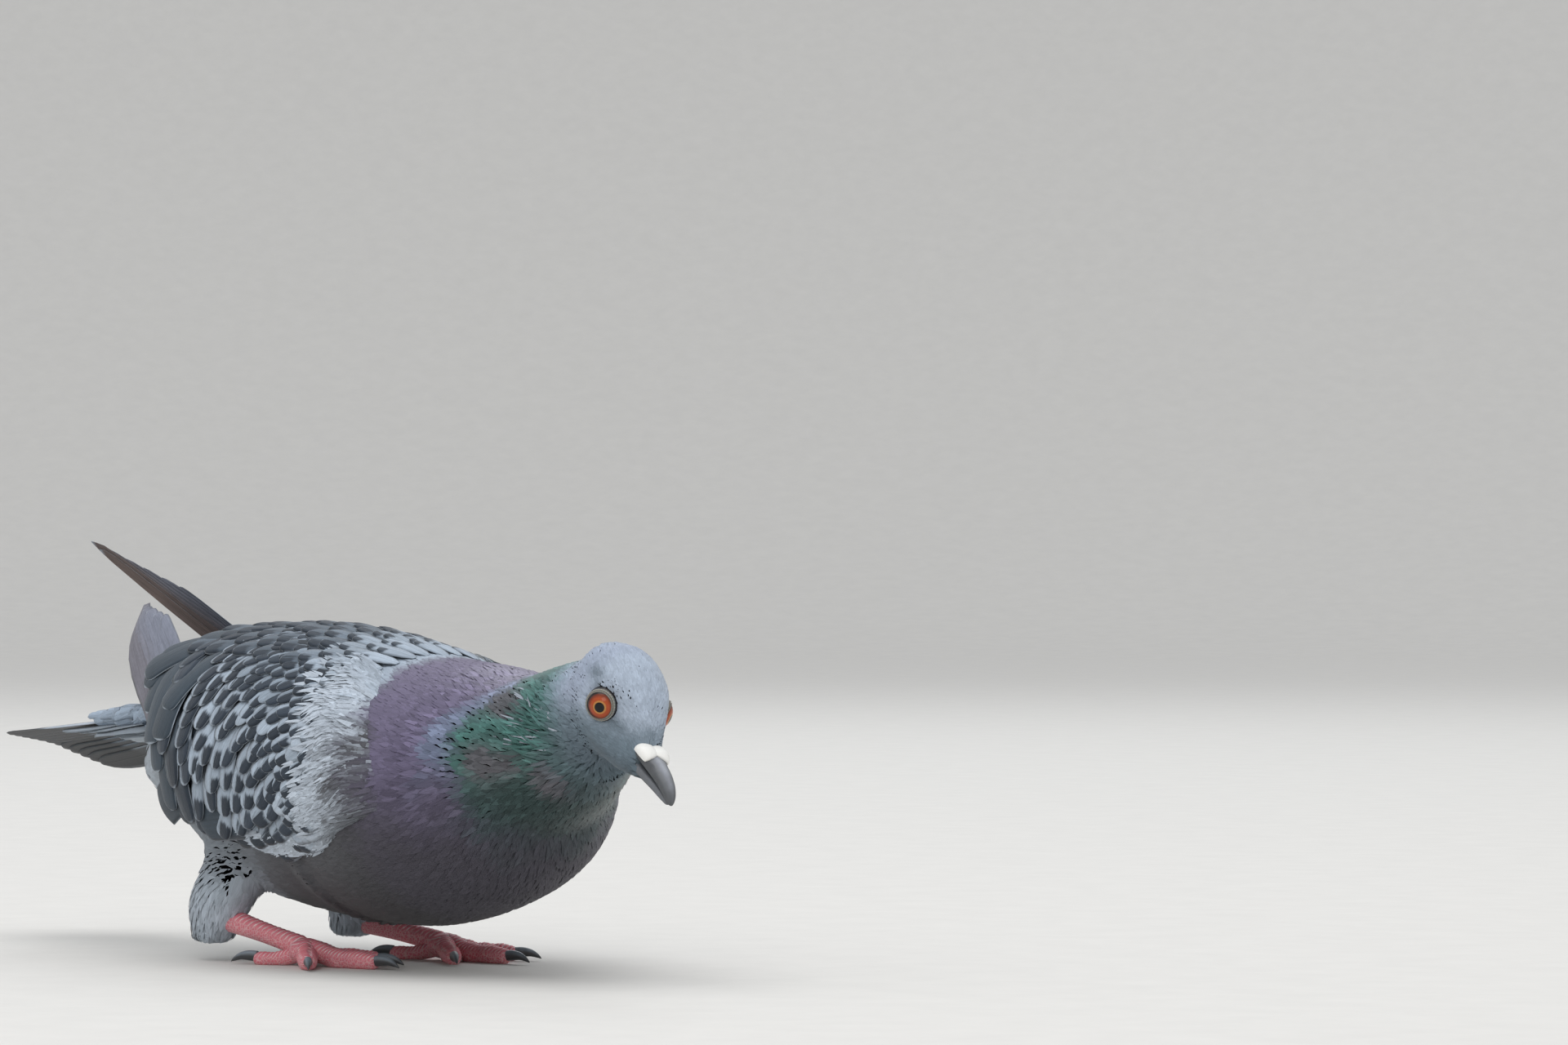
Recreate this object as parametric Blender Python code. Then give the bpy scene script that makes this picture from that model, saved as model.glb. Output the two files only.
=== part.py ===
"""A feral pigeon (Columba livia), life size, crouched in mid-stride with its head turned to its right.

The bird faces +X, its right side is -Y and +Z is up. Lengths are in millimetres, and MM turns them into
Blender's metres. Places are measured from the floor under the middle of the body. The last step moves the
whole bird sideways, so that the middle of its bounding box stands over the origin.
"""

import math

import bmesh
import bpy
import numpy as np
from mathutils import Matrix, Vector

MM = 0.001
GAP = 0.3  # clearance that keeps neighbouring solids apart
RIGHT, LEFT = -1, 1
SIDES = {"right": RIGHT, "left": LEFT}

# Trunk with breast and rump, cut by upright planes: x, centre height, half width, half height.
TRUNK = [
    (-90, 50.6, 4.0, 3.0),
    (-84, 50.8, 10.0, 6.8),
    (-76, 51.5, 15.5, 11.0),
    (-68, 52.6, 20.0, 15.2),
    (-58, 54.0, 25.0, 20.0),
    (-45, 53.0, 29.5, 26.0),
    (-28, 50.0, 34.0, 32.0),
    (-8, 49.0, 37.0, 35.0),
    (20, 47.9, 39.0, 36.3),
    (45, 46.6, 40.0, 35.0),
    (62, 46.2, 37.0, 30.7),
    (76, 45.2, 30.0, 23.8),
    (85, 44.6, 21.0, 16.6),
    (90, 44.0, 12.0, 9.8),
    (92, 43.8, 4.0, 3.4),
]
# Neck along its own line: share of its length, x, y, z, half width, half height.
NECK = [
    (0.00, 52, 0.0, 50.5, 32.0, 27.6),
    (0.20, 66, 0.0, 52.6, 31.5, 26.4),
    (0.42, 80, -0.5, 54.9, 28.0, 22.2),
    (0.62, 93, -1.2, 58.3, 23.0, 20.2),
    (0.82, 105, -2.0, 62.8, 18.0, 18.2),
    (1.00, 115, -2.6, 66.5, 13.0, 14.6),
]
# Feathered head from the back of the skull to the root of the bill, in the head's own frame.
HEAD = [
    (-19.0, 1.6, 4.0, 4.2),
    (-17.2, 1.4, 7.4, 8.2),
    (-13.0, 0.7, 10.2, 11.9),
    (-8.0, 0.0, 11.3, 13.4),
    (-3.0, -0.7, 11.1, 13.4),
    (2.0, -1.5, 10.0, 12.4),
    (7.0, -2.9, 8.1, 10.5),
    (10.5, -4.3, 6.3, 7.9),
    (13.2, -5.6, 4.6, 4.9),
]
HEAD_CENTRE = (127.0, -3.0, 69.2)  # midway between the eyes
# Degrees: positive turns the bill to the left, nods it down and tilts the right cheek down.
HEAD_TURN, HEAD_NOD, HEAD_TILT = -8.5, 27.5, -10.0

# Upper bill: x, height of the ridge, height of the mouth line, half width.
UPPER_BILL = [
    (13.5, -3.0, -6.6, 3.6),
    (17.0, -3.3, -7.0, 3.3),
    (21.0, -3.9, -7.5, 2.8),
    (24.5, -4.8, -8.1, 2.4),
    (27.5, -6.0, -8.9, 1.9),
    (29.8, -7.6, -9.8, 1.2),
    (31.0, -8.9, -10.1, 0.5),
]
# Lower bill: x, height of the mouth line, height of the keel, half width.
LOWER_BILL = [
    (13.5, -6.9, -10.0, 3.3),
    (18.0, -7.5, -10.3, 2.8),
    (22.5, -8.2, -10.7, 2.2),
    (26.5, -9.1, -11.1, 1.6),
    (29.4, -10.2, -11.3, 0.6),
]
# Cere: where it begins and ends along the upper bill, and how thick it is between and on its two lobes.
CERE_START, CERE_END = 13.6, 19.6
CERE_SADDLE, CERE_LOBE = 0.9, 2.3
EYE = {"centre": (-1.8, 7.7, 0.3), "radius": 4.6}

# Outline of the folded wings round the body: x, centre height, half width, half height.
WINGS = [
    (72, 45.0, 35.5, 30.5),
    (50, 46.6, 42.6, 35.2),
    (25, 48.0, 44.3, 38.0),
    (0, 49.7, 44.0, 39.8),
    (-25, 51.7, 41.0, 38.2),
    (-45, 55.5, 35.6, 33.6),
    (-62, 61.5, 28.0, 27.6),
    (-80, 70.5, 19.0, 19.0),
]
# Edges of one folded wing. Front and rear: share of the way down, x.
WING_FRONT = [(0, 42), (0.35, 57), (0.7, 66), (0.88, 62), (1, 50)]
WING_REAR = [(0, -62), (0.3, -62), (0.55, -54), (0.75, -42), (0.9, -28), (1, -14)]
# Top and bottom: share of the way back, degrees round the body from straight up.
WING_TOP = [(0, 24), (0.35, 10), (0.6, 3), (1, 2.5)]
WING_BOTTOM = [(0, 106), (0.3, 116), (0.55, 116), (0.8, 108), (1, 100)]
WING_THICKNESS = [(0, 3), (0.2, 5), (0.45, 5), (0.6, 3.6), (0.8, 2.6), (1, 1.3)]
COVERT_SHARE = 0.60  # the coverts end and the secondaries begin this far back
SECONDARY_TIPS = 10

# Primaries of each wing: leading and trailing edge from the root to the tip. The left wing is held higher.
PRIMARIES = {
    "right": {
        "leading": [
            (-22, -37.5, 50),
            (-36, -35, 50.5),
            (-50, -30, 52.5),
            (-66, -23, 63.5),
            (-86, -15, 81),
            (-101, -1, 93.5),
        ],
        "trailing": [
            (-46, -20, 76),
            (-58, -14, 81),
            (-70, -8, 87),
            (-83, -3, 92.5),
            (-93, 0.5, 96),
            (-101, 2, 96.5),
        ],
    },
    "left": {
        "leading": [
            (-22, 37.5, 50),
            (-37, 34.5, 51),
            (-52, 28.5, 56),
            (-69, 18.5, 71.5),
            (-92, 7.5, 90),
            (-127, 0, 111.5),
        ],
        "trailing": [
            (-46, 20, 76),
            (-57, 14.5, 82),
            (-68, 9, 88),
            (-88, 5, 99),
            (-109, 1, 108.5),
            (-127, -0.5, 113.5),
        ],
    },
}
PRIMARY_BULGE = 2.5  # how far the vanes bow outwards between their edges
PRIMARY_THICKNESS = [(0, 1.2), (0.5, 1.1), (1, 0.7)]

# Tail: x, centre y, centre z, half width, thickness, roll in degrees that lifts the right edge.
TAIL = [
    (-60, 0.0, 63.5, 15.0, 4.5, 6),
    (-75, 0.2, 61.8, 17.5, 4.0, 8),
    (-100, 0.6, 58.5, 19.5, 2.4, 11.5),
    (-125, 1.0, 55.1, 21.2, 1.5, 15),
    (-151, 1.3, 51.8, 22.0, 1.0, 16.5),
]
TAIL_FEATHERS = 12
TAIL_CAMBER = 2.2
TAIL_ROUNDING = 4.5  # how far the outer corners stop short of the middle feathers
TAIL_NOTCH = 1.3

# Legs: rings of the drumstick (x, y, z, half length, half width) from the flank down, the ankle,
# the root of the toes, and where each toe ends on the floor.
LEGS = {
    "right": {
        "thigh": [
            (-12, -20, 41, 14, 11),
            (-17.5, -23.5, 27, 12.5, 9),
            (-23.5, -26, 15, 10.5, 7.8),
            (-26.5, -26.8, 6, 6.4, 5.2),
        ],
        "ankle": (-21.5, -26.5, 11.6),
        "toe_root": (8.5, -20.5, 4.6),
        "toes": {"inner": (26, -9), "middle": (33.5, -15.2), "outer": (25, -31.5), "hind": (-4.5, -28.5)},
    },
    "left": {
        "thigh": [
            (0, 16, 37, 15, 11),
            (-9, 17, 25, 13, 9.5),
            (-18, 16, 14.5, 11, 8),
            (-21.5, 15, 6.5, 7, 5.4),
        ],
        "ankle": (-18.5, 14.5, 9.8),
        "toe_root": (12.5, 21.5, 4.6),
        "toes": {"inner": (30.5, 11.5), "middle": (36.5, 25.2), "outer": (27.5, 34.5), "hind": (-1.5, 13.5)},
    },
}
# Tarsus: share of its length, half width, half height.
TARSUS = [(0, 3.2, 3.4), (0.15, 2.9, 3.1), (0.5, 2.4, 2.7), (0.85, 2.6, 2.8), (1, 2.9, 2.9)]
# Toe: share of its length, height of its line, radius. Its lowest stretch is trimmed level with the floor.
TOE = [(0, 4.6, 2.9), (0.2, 3.5, 2.75), (0.4, 2.4, 2.65), (0.7, 2.2, 2.45), (0.9, 2.0, 2.25), (1, 2.0, 1.6)]
HIND_TOE = [(0, 3.6, 2.1), (0.3, 2.4, 2.0), (0.55, 1.7, 1.9), (0.9, 1.55, 1.75), (1, 1.6, 1.2)]
PAD_RADII = (5.0, 4.6, 3.5)
CLAW_LENGTH = {"inner": 6.0, "middle": 7.0, "outer": 6.0, "hind": 6.0}
# Claw: share of its length, height of its line, radius.
CLAW = [(0, 2.2, 1.45), (0.3, 2.4, 1.35), (0.65, 2.1, 0.95), (0.9, 1.2, 0.55), (1, 0.7, 0.32)]

# Colour (linear RGB), roughness.
FINISHES = {
    "breast_feathers": ((0.085, 0.085, 0.095), 0.75),
    "neck_feathers": ((0.060, 0.115, 0.100), 0.55),
    "head_feathers": ((0.235, 0.265, 0.320), 0.80),
    "covert_feathers": ((0.245, 0.275, 0.335), 0.80),
    "flight_feathers": ((0.075, 0.080, 0.095), 0.65),
    "tail_feathers": ((0.200, 0.230, 0.285), 0.75),
    "leg_feathers": ((0.300, 0.310, 0.340), 0.85),
    "leg_scales": ((0.560, 0.110, 0.115), 0.55),
    "claw_horn": ((0.030, 0.035, 0.045), 0.35),
    "bill_horn": ((0.095, 0.100, 0.115), 0.40),
    "cere_skin": ((0.800, 0.780, 0.740), 0.70),
    "eye_orange": ((0.720, 0.190, 0.030), 0.10),
}


def follow(table, at):
    """Rows of a table at the given places: a cubic through its points, its slopes taken from both sides."""
    table = np.asarray(table, float)
    table = table[np.argsort(table[:, 0])]
    knots, rows = table[:, 0], table[:, 1:]
    slopes = np.gradient(rows, knots, axis=0)
    at = np.asarray(at, float)
    span = np.clip(np.searchsorted(knots, at, side="right") - 1, 0, len(knots) - 2)
    width = (knots[span + 1] - knots[span])[:, None]
    t = (at - knots[span])[:, None] / width
    return (
        (2 * t**3 - 3 * t**2 + 1) * rows[span]
        + (t**3 - 2 * t**2 + t) * width * slopes[span]
        + (3 * t**2 - 2 * t**3) * rows[span + 1]
        + (t**3 - t**2) * width * slopes[span + 1]
    )


def material(name):
    found = bpy.data.materials.get(name)
    if found:
        return found
    colour, roughness = FINISHES[name]
    made = bpy.data.materials.new(name)
    made.use_nodes = True
    made.diffuse_color = (*colour, 1)
    shader = made.node_tree.nodes["Principled BSDF"]
    shader.inputs["Base Color"].default_value = (*colour, 1)
    shader.inputs["Roughness"].default_value = roughness
    return made


def solid(name, points, faces, finish):
    """A named closed mesh object from points in millimetres, with its faces turned outwards."""
    mesh = bpy.data.meshes.new(name)
    mesh.from_pydata((np.asarray(points) * MM).tolist(), [], faces)
    shape = bmesh.new()
    shape.from_mesh(mesh)
    bmesh.ops.recalc_face_normals(shape, faces=shape.faces)
    shape.to_mesh(mesh)
    shape.free()
    mesh.shade_smooth()
    mesh.set_sharp_from_angle(angle=math.radians(50))
    mesh.materials.append(material(finish))
    made = bpy.data.objects.new(name, mesh)
    bpy.context.collection.objects.link(made)
    return made


def loft(rings):
    """Points and faces of a tube through equal rings, with a flat cap on each end."""
    rings = np.asarray(rings, float)
    count, size = rings.shape[:2]
    faces = []
    for ring in range(count - 1):
        for corner in range(size):
            after = (corner + 1) % size
            low, high = ring * size, (ring + 1) * size
            faces.append((low + corner, low + after, high + after, high + corner))
    faces.append(tuple(range(size)))
    faces.append(tuple(range((count - 1) * size, count * size)))
    return rings.reshape(-1, 3), faces


def plate(outer, inner):
    """Points and faces of a closed plate between two grids of the same size."""
    rows, columns = outer.shape[:2]
    total = rows * columns

    def index(row, column, side):
        return side * total + row * columns + column

    faces = []
    for side in (0, 1):
        for row in range(rows - 1):
            for column in range(columns - 1):
                faces.append(
                    (
                        index(row, column, side),
                        index(row + 1, column, side),
                        index(row + 1, column + 1, side),
                        index(row, column + 1, side),
                    )
                )
    border = [(0, column) for column in range(columns)]
    border += [(row, columns - 1) for row in range(1, rows)]
    border += [(rows - 1, column) for column in range(columns - 2, -1, -1)]
    border += [(row, 0) for row in range(rows - 2, 0, -1)]
    for here, after in zip(border, border[1:] + border[:1]):
        faces.append((index(*here, 0), index(*after, 0), index(*after, 1), index(*here, 1)))
    return np.concatenate([outer.reshape(-1, 3), inner.reshape(-1, 3)]), faces


def circle(count):
    turn = np.linspace(0, 2 * math.pi, count, endpoint=False)
    return np.cos(turn), np.sin(turn)


def upright_rings(table, at, count, grow=0.0):
    """Elliptical rings in planes across X, from rows of x, centre height, half width and half height."""
    centre, width, height = (column[:, None] for column in follow(table, at).T)
    side, up = circle(count)
    x = np.broadcast_to(np.asarray(at, float)[:, None], (len(at), count))
    return np.stack([x, (width + grow) * side, centre + (height + grow) * up], axis=-1)


def rings_along(line, width, height, count, grow=0.0):
    """Elliptical rings square to a line of points: one axis is level, the other as upright as it can be."""
    line = np.asarray(line, float)
    ahead = np.gradient(line, axis=0)
    ahead /= np.linalg.norm(ahead, axis=1, keepdims=True)
    across = np.cross([0, 0, 1], ahead)
    across /= np.linalg.norm(across, axis=1, keepdims=True)
    up = np.cross(ahead, across)
    side, rise = circle(count)
    return (
        line[:, None]
        + across[:, None] * (np.asarray(width) + grow)[:, None, None] * side[None, :, None]
        + up[:, None] * (np.asarray(height) + grow)[:, None, None] * rise[None, :, None]
    )


def ball(centre, radii, rings=7, count=10):
    """Points and faces of an ellipsoid with its axes along X, Y and Z."""
    polar = np.linspace(0.14, math.pi - 0.14, rings)
    side, up = circle(count)
    points = np.stack(
        [
            np.broadcast_to(np.cos(polar)[:, None], (rings, count)) * radii[0],
            np.sin(polar)[:, None] * side * radii[1],
            np.sin(polar)[:, None] * up * radii[2],
        ],
        axis=-1,
    )
    return loft(points + np.asarray(centre))


def in_head_frame(points):
    """Moves points from the head's frame (x along the bill, y left, z up) to the bird's."""
    turn = (
        Matrix.Rotation(math.radians(HEAD_TURN), 3, "Z")
        @ Matrix.Rotation(math.radians(HEAD_NOD), 3, "Y")
        @ Matrix.Rotation(math.radians(HEAD_TILT), 3, "X")
    )
    return np.asarray(points) @ np.array(turn).T + np.array(HEAD_CENTRE)


def carve(target, name, points, faces):
    combine(target, name, points, faces, "DIFFERENCE")


def combine(target, name, points, faces, operation):
    """Joins a closed shape to an object, or cuts it away, with a Boolean. The shape stays hidden."""
    tool = solid(name, points, faces, target.active_material.name)
    tool.hide_render = True
    tool.display_type = "WIRE"
    modifier = target.modifiers.new(name, "BOOLEAN")
    modifier.operation = operation
    modifier.solver = "EXACT"
    modifier.object = tool


def trunk_shape(grow=0.0):
    at = np.concatenate([np.linspace(-90, -46, 7), np.linspace(-32, 58, 7), np.linspace(67, 92, 6)])
    return loft(upright_rings(TRUNK, at, 26, grow))


def neck_shape(grow=0.0):
    x, y, z, width, height = follow(NECK, np.linspace(0, 1, 8)).T
    return loft(rings_along(np.stack([x, y, z], axis=-1), width, height, 20, grow))


def head_shape(grow=0.0):
    at = np.concatenate([[-19, -18.3], np.linspace(-17.2, 7, 8), np.linspace(9, 13.2, 3)])
    points, faces = loft(upright_rings(HEAD, at, 22, grow))
    return in_head_frame(points), faces


def body():
    """Trunk, neck and head. Each one stops short of the next one back."""
    trunk = solid("trunk", *trunk_shape(), "breast_feathers")
    carve(trunk, "tail_slot", *tail_shape(GAP))
    neck = solid("neck", *neck_shape(), "neck_feathers")
    carve(neck, "trunk_clearance", *trunk_shape(GAP))
    carve(neck, "head_clearance", *head_shape(GAP))
    head = solid("head", *head_shape(), "head_feathers")
    for name, side in SIDES.items():
        carve(head, f"eye_socket_{name}", *eye_shape(side, GAP))


def eye_shape(side, grow=0.0):
    x, y, z = EYE["centre"]
    radius = EYE["radius"] + grow
    points, faces = ball((x, side * y, z), (radius, radius, radius), rings=8, count=12)
    return in_head_frame(points), faces


def eyes():
    for name, side in SIDES.items():
        solid(f"eye_{name}", *eye_shape(side), "eye_orange")


def on_bill(table, x, angle, grow=0.0):
    """Points round one half of the bill, in the head's frame. Angles are in radians from the top."""
    first, second, width = (column.reshape(x.shape) for column in follow(table, x.ravel()).T)
    middle, half = (first + second) / 2, abs(first - second) / 2
    up = np.cos(angle)
    squared = np.sign(up) * np.abs(up) ** 0.7
    return np.stack([x, (width + grow) * np.sin(angle), middle + (half + grow) * squared], axis=-1)


def bill_half(table):
    """One half of the bill, squarer in section than an ellipse, so that the halves meet along the mouth."""
    at = np.linspace(min(table)[0], max(table)[0], 9)
    turn = np.linspace(0, 2 * math.pi, 10, endpoint=False)
    x, angle = np.meshgrid(at, turn, indexing="ij")
    points, faces = loft(on_bill(table, x, angle))
    return in_head_frame(points), faces


def bill():
    solid("bill_upper", *bill_half(UPPER_BILL), "bill_horn")
    solid("bill_lower", *bill_half(LOWER_BILL), "bill_horn")


def cere():
    """White cere: a saddle over the root of the upper bill, swollen into a lobe on each side."""
    share, turn = np.meshgrid(np.linspace(0, 1, 6), np.radians(np.linspace(-92, 92, 13)), indexing="ij")
    lobe = np.abs(np.sin(1.7 * turn)).clip(0, 1) ** 0.8
    x = CERE_START + share * (CERE_END - CERE_START) * (0.72 + 0.28 * lobe)
    swell = np.sqrt((1 - (2 * share - 0.85) ** 2 / 1.35).clip(0.02, 1))
    edge = 0.35 + 0.65 * np.cos(turn / 1.15)
    thickness = (CERE_SADDLE + (CERE_LOBE - CERE_SADDLE) * lobe) * swell * edge
    outer = on_bill(UPPER_BILL, x, turn, GAP + thickness)
    inner = on_bill(UPPER_BILL, x, turn, GAP)
    points, faces = plate(outer, inner)
    solid("cere", in_head_frame(points), faces, "cere_skin")


def wing_grids(side, back, down):
    """Outer and inner points of a folded wing, for shares of its length and height.

    The inner face lies on the trunk's clearance, or at the wing's own thickness where the trunk is
    further away.
    """
    back, down = np.meshgrid(back, down, indexing="ij")
    shape = back.shape
    front, rear = (follow(edge, down.ravel()).reshape(shape) for edge in (WING_FRONT, WING_REAR))
    top, bottom = (follow(edge, back.ravel()).reshape(shape) for edge in (WING_TOP, WING_BOTTOM))
    x = front + back * (rear - front)
    angle = np.radians(top + down * (bottom - top))
    faces = []
    for table, clearance in ((WINGS, 0.0), (TRUNK, GAP)):
        centre, width, height = (column.reshape(shape) for column in follow(table, x.ravel()).T)
        y = side * (width + clearance) * np.sin(angle)
        faces.append(np.stack([x, y, centre + (height + clearance) * np.cos(angle)], axis=-1))
    outer, trunk = faces
    room = np.linalg.norm(trunk - outer, axis=-1)
    thickness = follow(WING_THICKNESS, back.ravel()).reshape(shape) * (1 - 0.45 * down**4)
    return outer, outer + (trunk - outer) * np.minimum(1, thickness / room)[..., None]


def coverts(name, side):
    """Shoulder and covert feathers of one wing, as a plate over the side of the body."""
    back, down = np.linspace(0, COVERT_SHARE, 9), np.linspace(0, 1, 13)
    solid(f"wing_coverts_{name}", *plate(*wing_grids(side, back, down)), "covert_feathers")


def secondaries(name, side):
    """Secondaries and tertials of one wing. Their rounded tips scallop the rear edge."""
    back, down = np.linspace(COVERT_SHARE + 0.004, 1, 6), np.linspace(0, 1, 2 * SECONDARY_TIPS + 1)
    outer, inner = wing_grids(side, back, down)
    notch = np.abs(np.sin(math.pi * SECONDARY_TIPS * down))[None, :]
    reach = np.linspace(0, 1, len(back))[:, None] ** 3
    for grid in (outer, inner):
        grid[..., 0] += 1.8 * reach * (1 - notch)
    solid(f"secondaries_{name}", *plate(outer, inner), "flight_feathers")


def primaries(name, side):
    """Primaries of one wing: a bowed blade between its leading and trailing edges, with a rounded tip."""
    along, across = np.linspace(0, 1, 13), np.linspace(0, 1, 5)
    shares = np.linspace(0, 1, 6)
    edges = []
    for edge in ("leading", "trailing"):
        rows = [(share, *point) for share, point in zip(shares, PRIMARIES[name][edge])]
        edges.append(follow(rows, along))
    leading, trailing = edges
    outer = leading[:, None] + (trailing - leading)[:, None] * across[None, :, None]
    chord, run = trailing - leading, np.gradient(leading, axis=0)
    normal = np.cross(run, chord) * side
    normal /= np.linalg.norm(normal, axis=1, keepdims=True)
    bow = PRIMARY_BULGE * 4 * across * (1 - across)
    reach = np.minimum(1, 2.5 * (1 - along))
    outer = outer + normal[:, None] * (bow[None, :] * reach[:, None])[..., None]
    thickness = follow(PRIMARY_THICKNESS, along)[:, 0]
    inner = outer - normal[:, None] * thickness[:, None, None]
    solid(f"primaries_{name}", *plate(outer, inner), "flight_feathers")


def tail_shape(grow=0.0):
    """Twelve tail feathers as one cambered plate, with a notch between each two tips and rounded corners."""
    along = np.linspace(0, 1, 6)
    across = np.linspace(-1, 1, 2 * TAIL_FEATHERS + 1)
    start, end = TAIL[0][0], TAIL[-1][0]
    rounding = TAIL_ROUNDING * np.abs(across) ** 3
    notch = TAIL_NOTCH * (1 - np.abs(np.sin(math.pi * TAIL_FEATHERS * (across + 1) / 2)))
    reach = end + rounding + notch
    x = start + (reach[None, :] - start) * along[:, None]
    y, z, width, thickness, roll = (column.reshape(x.shape) for column in follow(TAIL, x.ravel()).T)
    roll = np.radians(roll)
    flat = (width + grow) * across[None, :]
    arch = TAIL_CAMBER * (1 - across[None, :] ** 2) * along[:, None]
    grids = []
    for up in (1, -1):
        height = arch + up * (thickness / 2 + grow)
        level = y + flat * np.cos(roll) + height * np.sin(roll)
        upright = z - flat * np.sin(roll) + height * np.cos(roll)
        grids.append(np.stack([x, level, upright], axis=-1))
    if grow:
        for grid in grids:
            grid[0, :, 0] += grow
    return plate(*grids)


def tail():
    solid("tail", *tail_shape(), "tail_feathers")


def thigh(name, leg):
    """Feathered drumstick, from inside the flank down to the ankle."""
    rows = [(share, *row) for share, row in zip(np.linspace(0, 1, 4), leg["thigh"])]
    x, y, z, width, depth = follow(rows, np.linspace(0, 1, 7)).T
    ahead, across = circle(14)
    rings = np.stack(
        [
            x[:, None] + width[:, None] * ahead,
            y[:, None] + depth[:, None] * across,
            np.repeat(z[:, None], len(ahead), axis=1),
        ],
        axis=-1,
    )
    made = solid(f"thigh_{name}", *loft(rings), "leg_feathers")
    carve(made, f"thigh_trunk_clearance_{name}", *trunk_shape(GAP))
    carve(made, f"thigh_tarsus_clearance_{name}", *tarsus_shape(leg, GAP))


def tarsus_shape(leg, grow=0.0):
    """Bare shank, from the ankle to the root of the toes."""
    share = np.linspace(0, 1, 6)
    line = np.array(leg["ankle"]) + (np.array(leg["toe_root"]) - np.array(leg["ankle"])) * share[:, None]
    width, height = follow(TARSUS, share).T
    return loft(rings_along(line, width, height, 10, grow))


def pad_shape(leg, grow=0.0):
    x, y, _ = leg["toe_root"]
    radii = [radius + grow for radius in PAD_RADII]
    return ball((x, y, PAD_RADII[2] + 0.35), radii)


def toe_direction(leg, toe):
    root, end = np.array(leg["toe_root"][:2]), np.array(leg["toes"][toe], float)
    return (end - root) / np.linalg.norm(end - root), np.linalg.norm(end - root)


def along_floor(leg, toe, start, length, table, count, rings):
    """A tapered tube that leaves the toe root's side in a toe's direction, trimmed level with the floor."""
    ahead, _ = toe_direction(leg, toe)
    share = np.linspace(0, 1, rings)
    height, radius = follow(table, share).T
    flat = np.array(leg["toe_root"][:2]) + ahead * (start + share * length)[:, None]
    points = rings_along(np.column_stack([flat, height]), radius, radius, count)
    points[..., 2] = np.maximum(points[..., 2], 0)
    return loft(points)


def toe_shape(leg, toe, grow=0.0):
    _, length = toe_direction(leg, toe)
    table = HIND_TOE if toe == "hind" else TOE
    grown = [(share, height, radius + grow) for share, height, radius in table]
    return along_floor(leg, toe, 0, length, grown, 10, 8)


def foot(name, leg):
    """Pad and four toes in one solid, and a claw ahead of each toe."""
    made = solid(f"foot_{name}", *pad_shape(leg), "leg_scales")
    for toe in leg["toes"]:
        _, length = toe_direction(leg, toe)
        combine(made, f"toe_{toe}_{name}", *toe_shape(leg, toe), "UNION")
        claw = along_floor(leg, toe, length + 2 * GAP, CLAW_LENGTH[toe], CLAW, 7, 5)
        solid(f"claw_{toe}_{name}", *claw, "claw_horn")


def legs():
    for name, leg in LEGS.items():
        thigh(name, leg)
        tarsus = solid(f"tarsus_{name}", *tarsus_shape(leg), "leg_scales")
        carve(tarsus, f"tarsus_pad_clearance_{name}", *pad_shape(leg, GAP))
        for toe in leg["toes"]:
            carve(tarsus, f"tarsus_{toe}_clearance_{name}", *toe_shape(leg, toe, GAP))
        foot(name, leg)


def wings():
    for name, side in SIDES.items():
        coverts(name, side)
        secondaries(name, side)
        primaries(name, side)


def centre_over_origin():
    """Moves every mesh sideways, so that the middle of the visible bird's bounding box is at x = y = 0."""
    shown = [item for item in bpy.data.objects if not item.hide_render]
    points = np.array([vertex.co for item in shown for vertex in item.data.vertices])
    middle = (points.min(axis=0) + points.max(axis=0)) / 2
    shift = Matrix.Translation(Vector((-middle[0], -middle[1], 0)))
    for item in bpy.data.objects:
        item.data.transform(shift)


def main():
    for item in list(bpy.data.objects):
        bpy.data.objects.remove(item, do_unlink=True)
    body()
    eyes()
    bill()
    cere()
    wings()
    tail()
    legs()
    centre_over_origin()


main()
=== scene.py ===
"""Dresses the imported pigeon: skin, feathers, eyes, bill, cere, scaled legs and claws, with a plain studio.

Lengths in the tables are millimetres and MM turns them into Blender's metres. The bird faces +X, its right
side is -Y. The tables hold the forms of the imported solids, sampled more finely here. Every surface is a
function of two parameters worked out on whole numpy arrays, and every feather is a closed blade laid along
such a surface.
"""

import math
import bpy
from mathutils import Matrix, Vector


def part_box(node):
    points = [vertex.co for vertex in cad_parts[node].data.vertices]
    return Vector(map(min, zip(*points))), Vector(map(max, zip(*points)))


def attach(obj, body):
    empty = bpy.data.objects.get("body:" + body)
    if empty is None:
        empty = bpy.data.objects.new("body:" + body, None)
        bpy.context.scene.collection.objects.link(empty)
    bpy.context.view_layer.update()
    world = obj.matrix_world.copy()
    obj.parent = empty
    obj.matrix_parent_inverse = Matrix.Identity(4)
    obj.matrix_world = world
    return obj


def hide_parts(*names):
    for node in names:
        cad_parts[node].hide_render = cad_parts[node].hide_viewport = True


bl_info = {
    "name": "Pigeon Plumage",
    "version": (1, 0, 0),
    "blender": (4, 5, 0),
    "location": "3D View > Sidebar > Pigeon",
    "description": "Skin, feathers, eyes, bill and scaled legs for a life-size pigeon",
    "category": "Add Mesh",
}

from types import SimpleNamespace

import bmesh
import bpy
import numpy as np
from mathutils import Matrix, Vector

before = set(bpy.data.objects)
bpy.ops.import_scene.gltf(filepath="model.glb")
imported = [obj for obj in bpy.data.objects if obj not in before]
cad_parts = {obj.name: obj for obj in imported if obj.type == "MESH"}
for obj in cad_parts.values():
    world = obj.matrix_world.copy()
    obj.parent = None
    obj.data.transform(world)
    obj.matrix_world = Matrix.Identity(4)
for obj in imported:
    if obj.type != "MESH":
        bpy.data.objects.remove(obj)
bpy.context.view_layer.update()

MM = 0.001
RIGHT, LEFT = -1, 1
SIDES = {"right": RIGHT, "left": LEFT}
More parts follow.
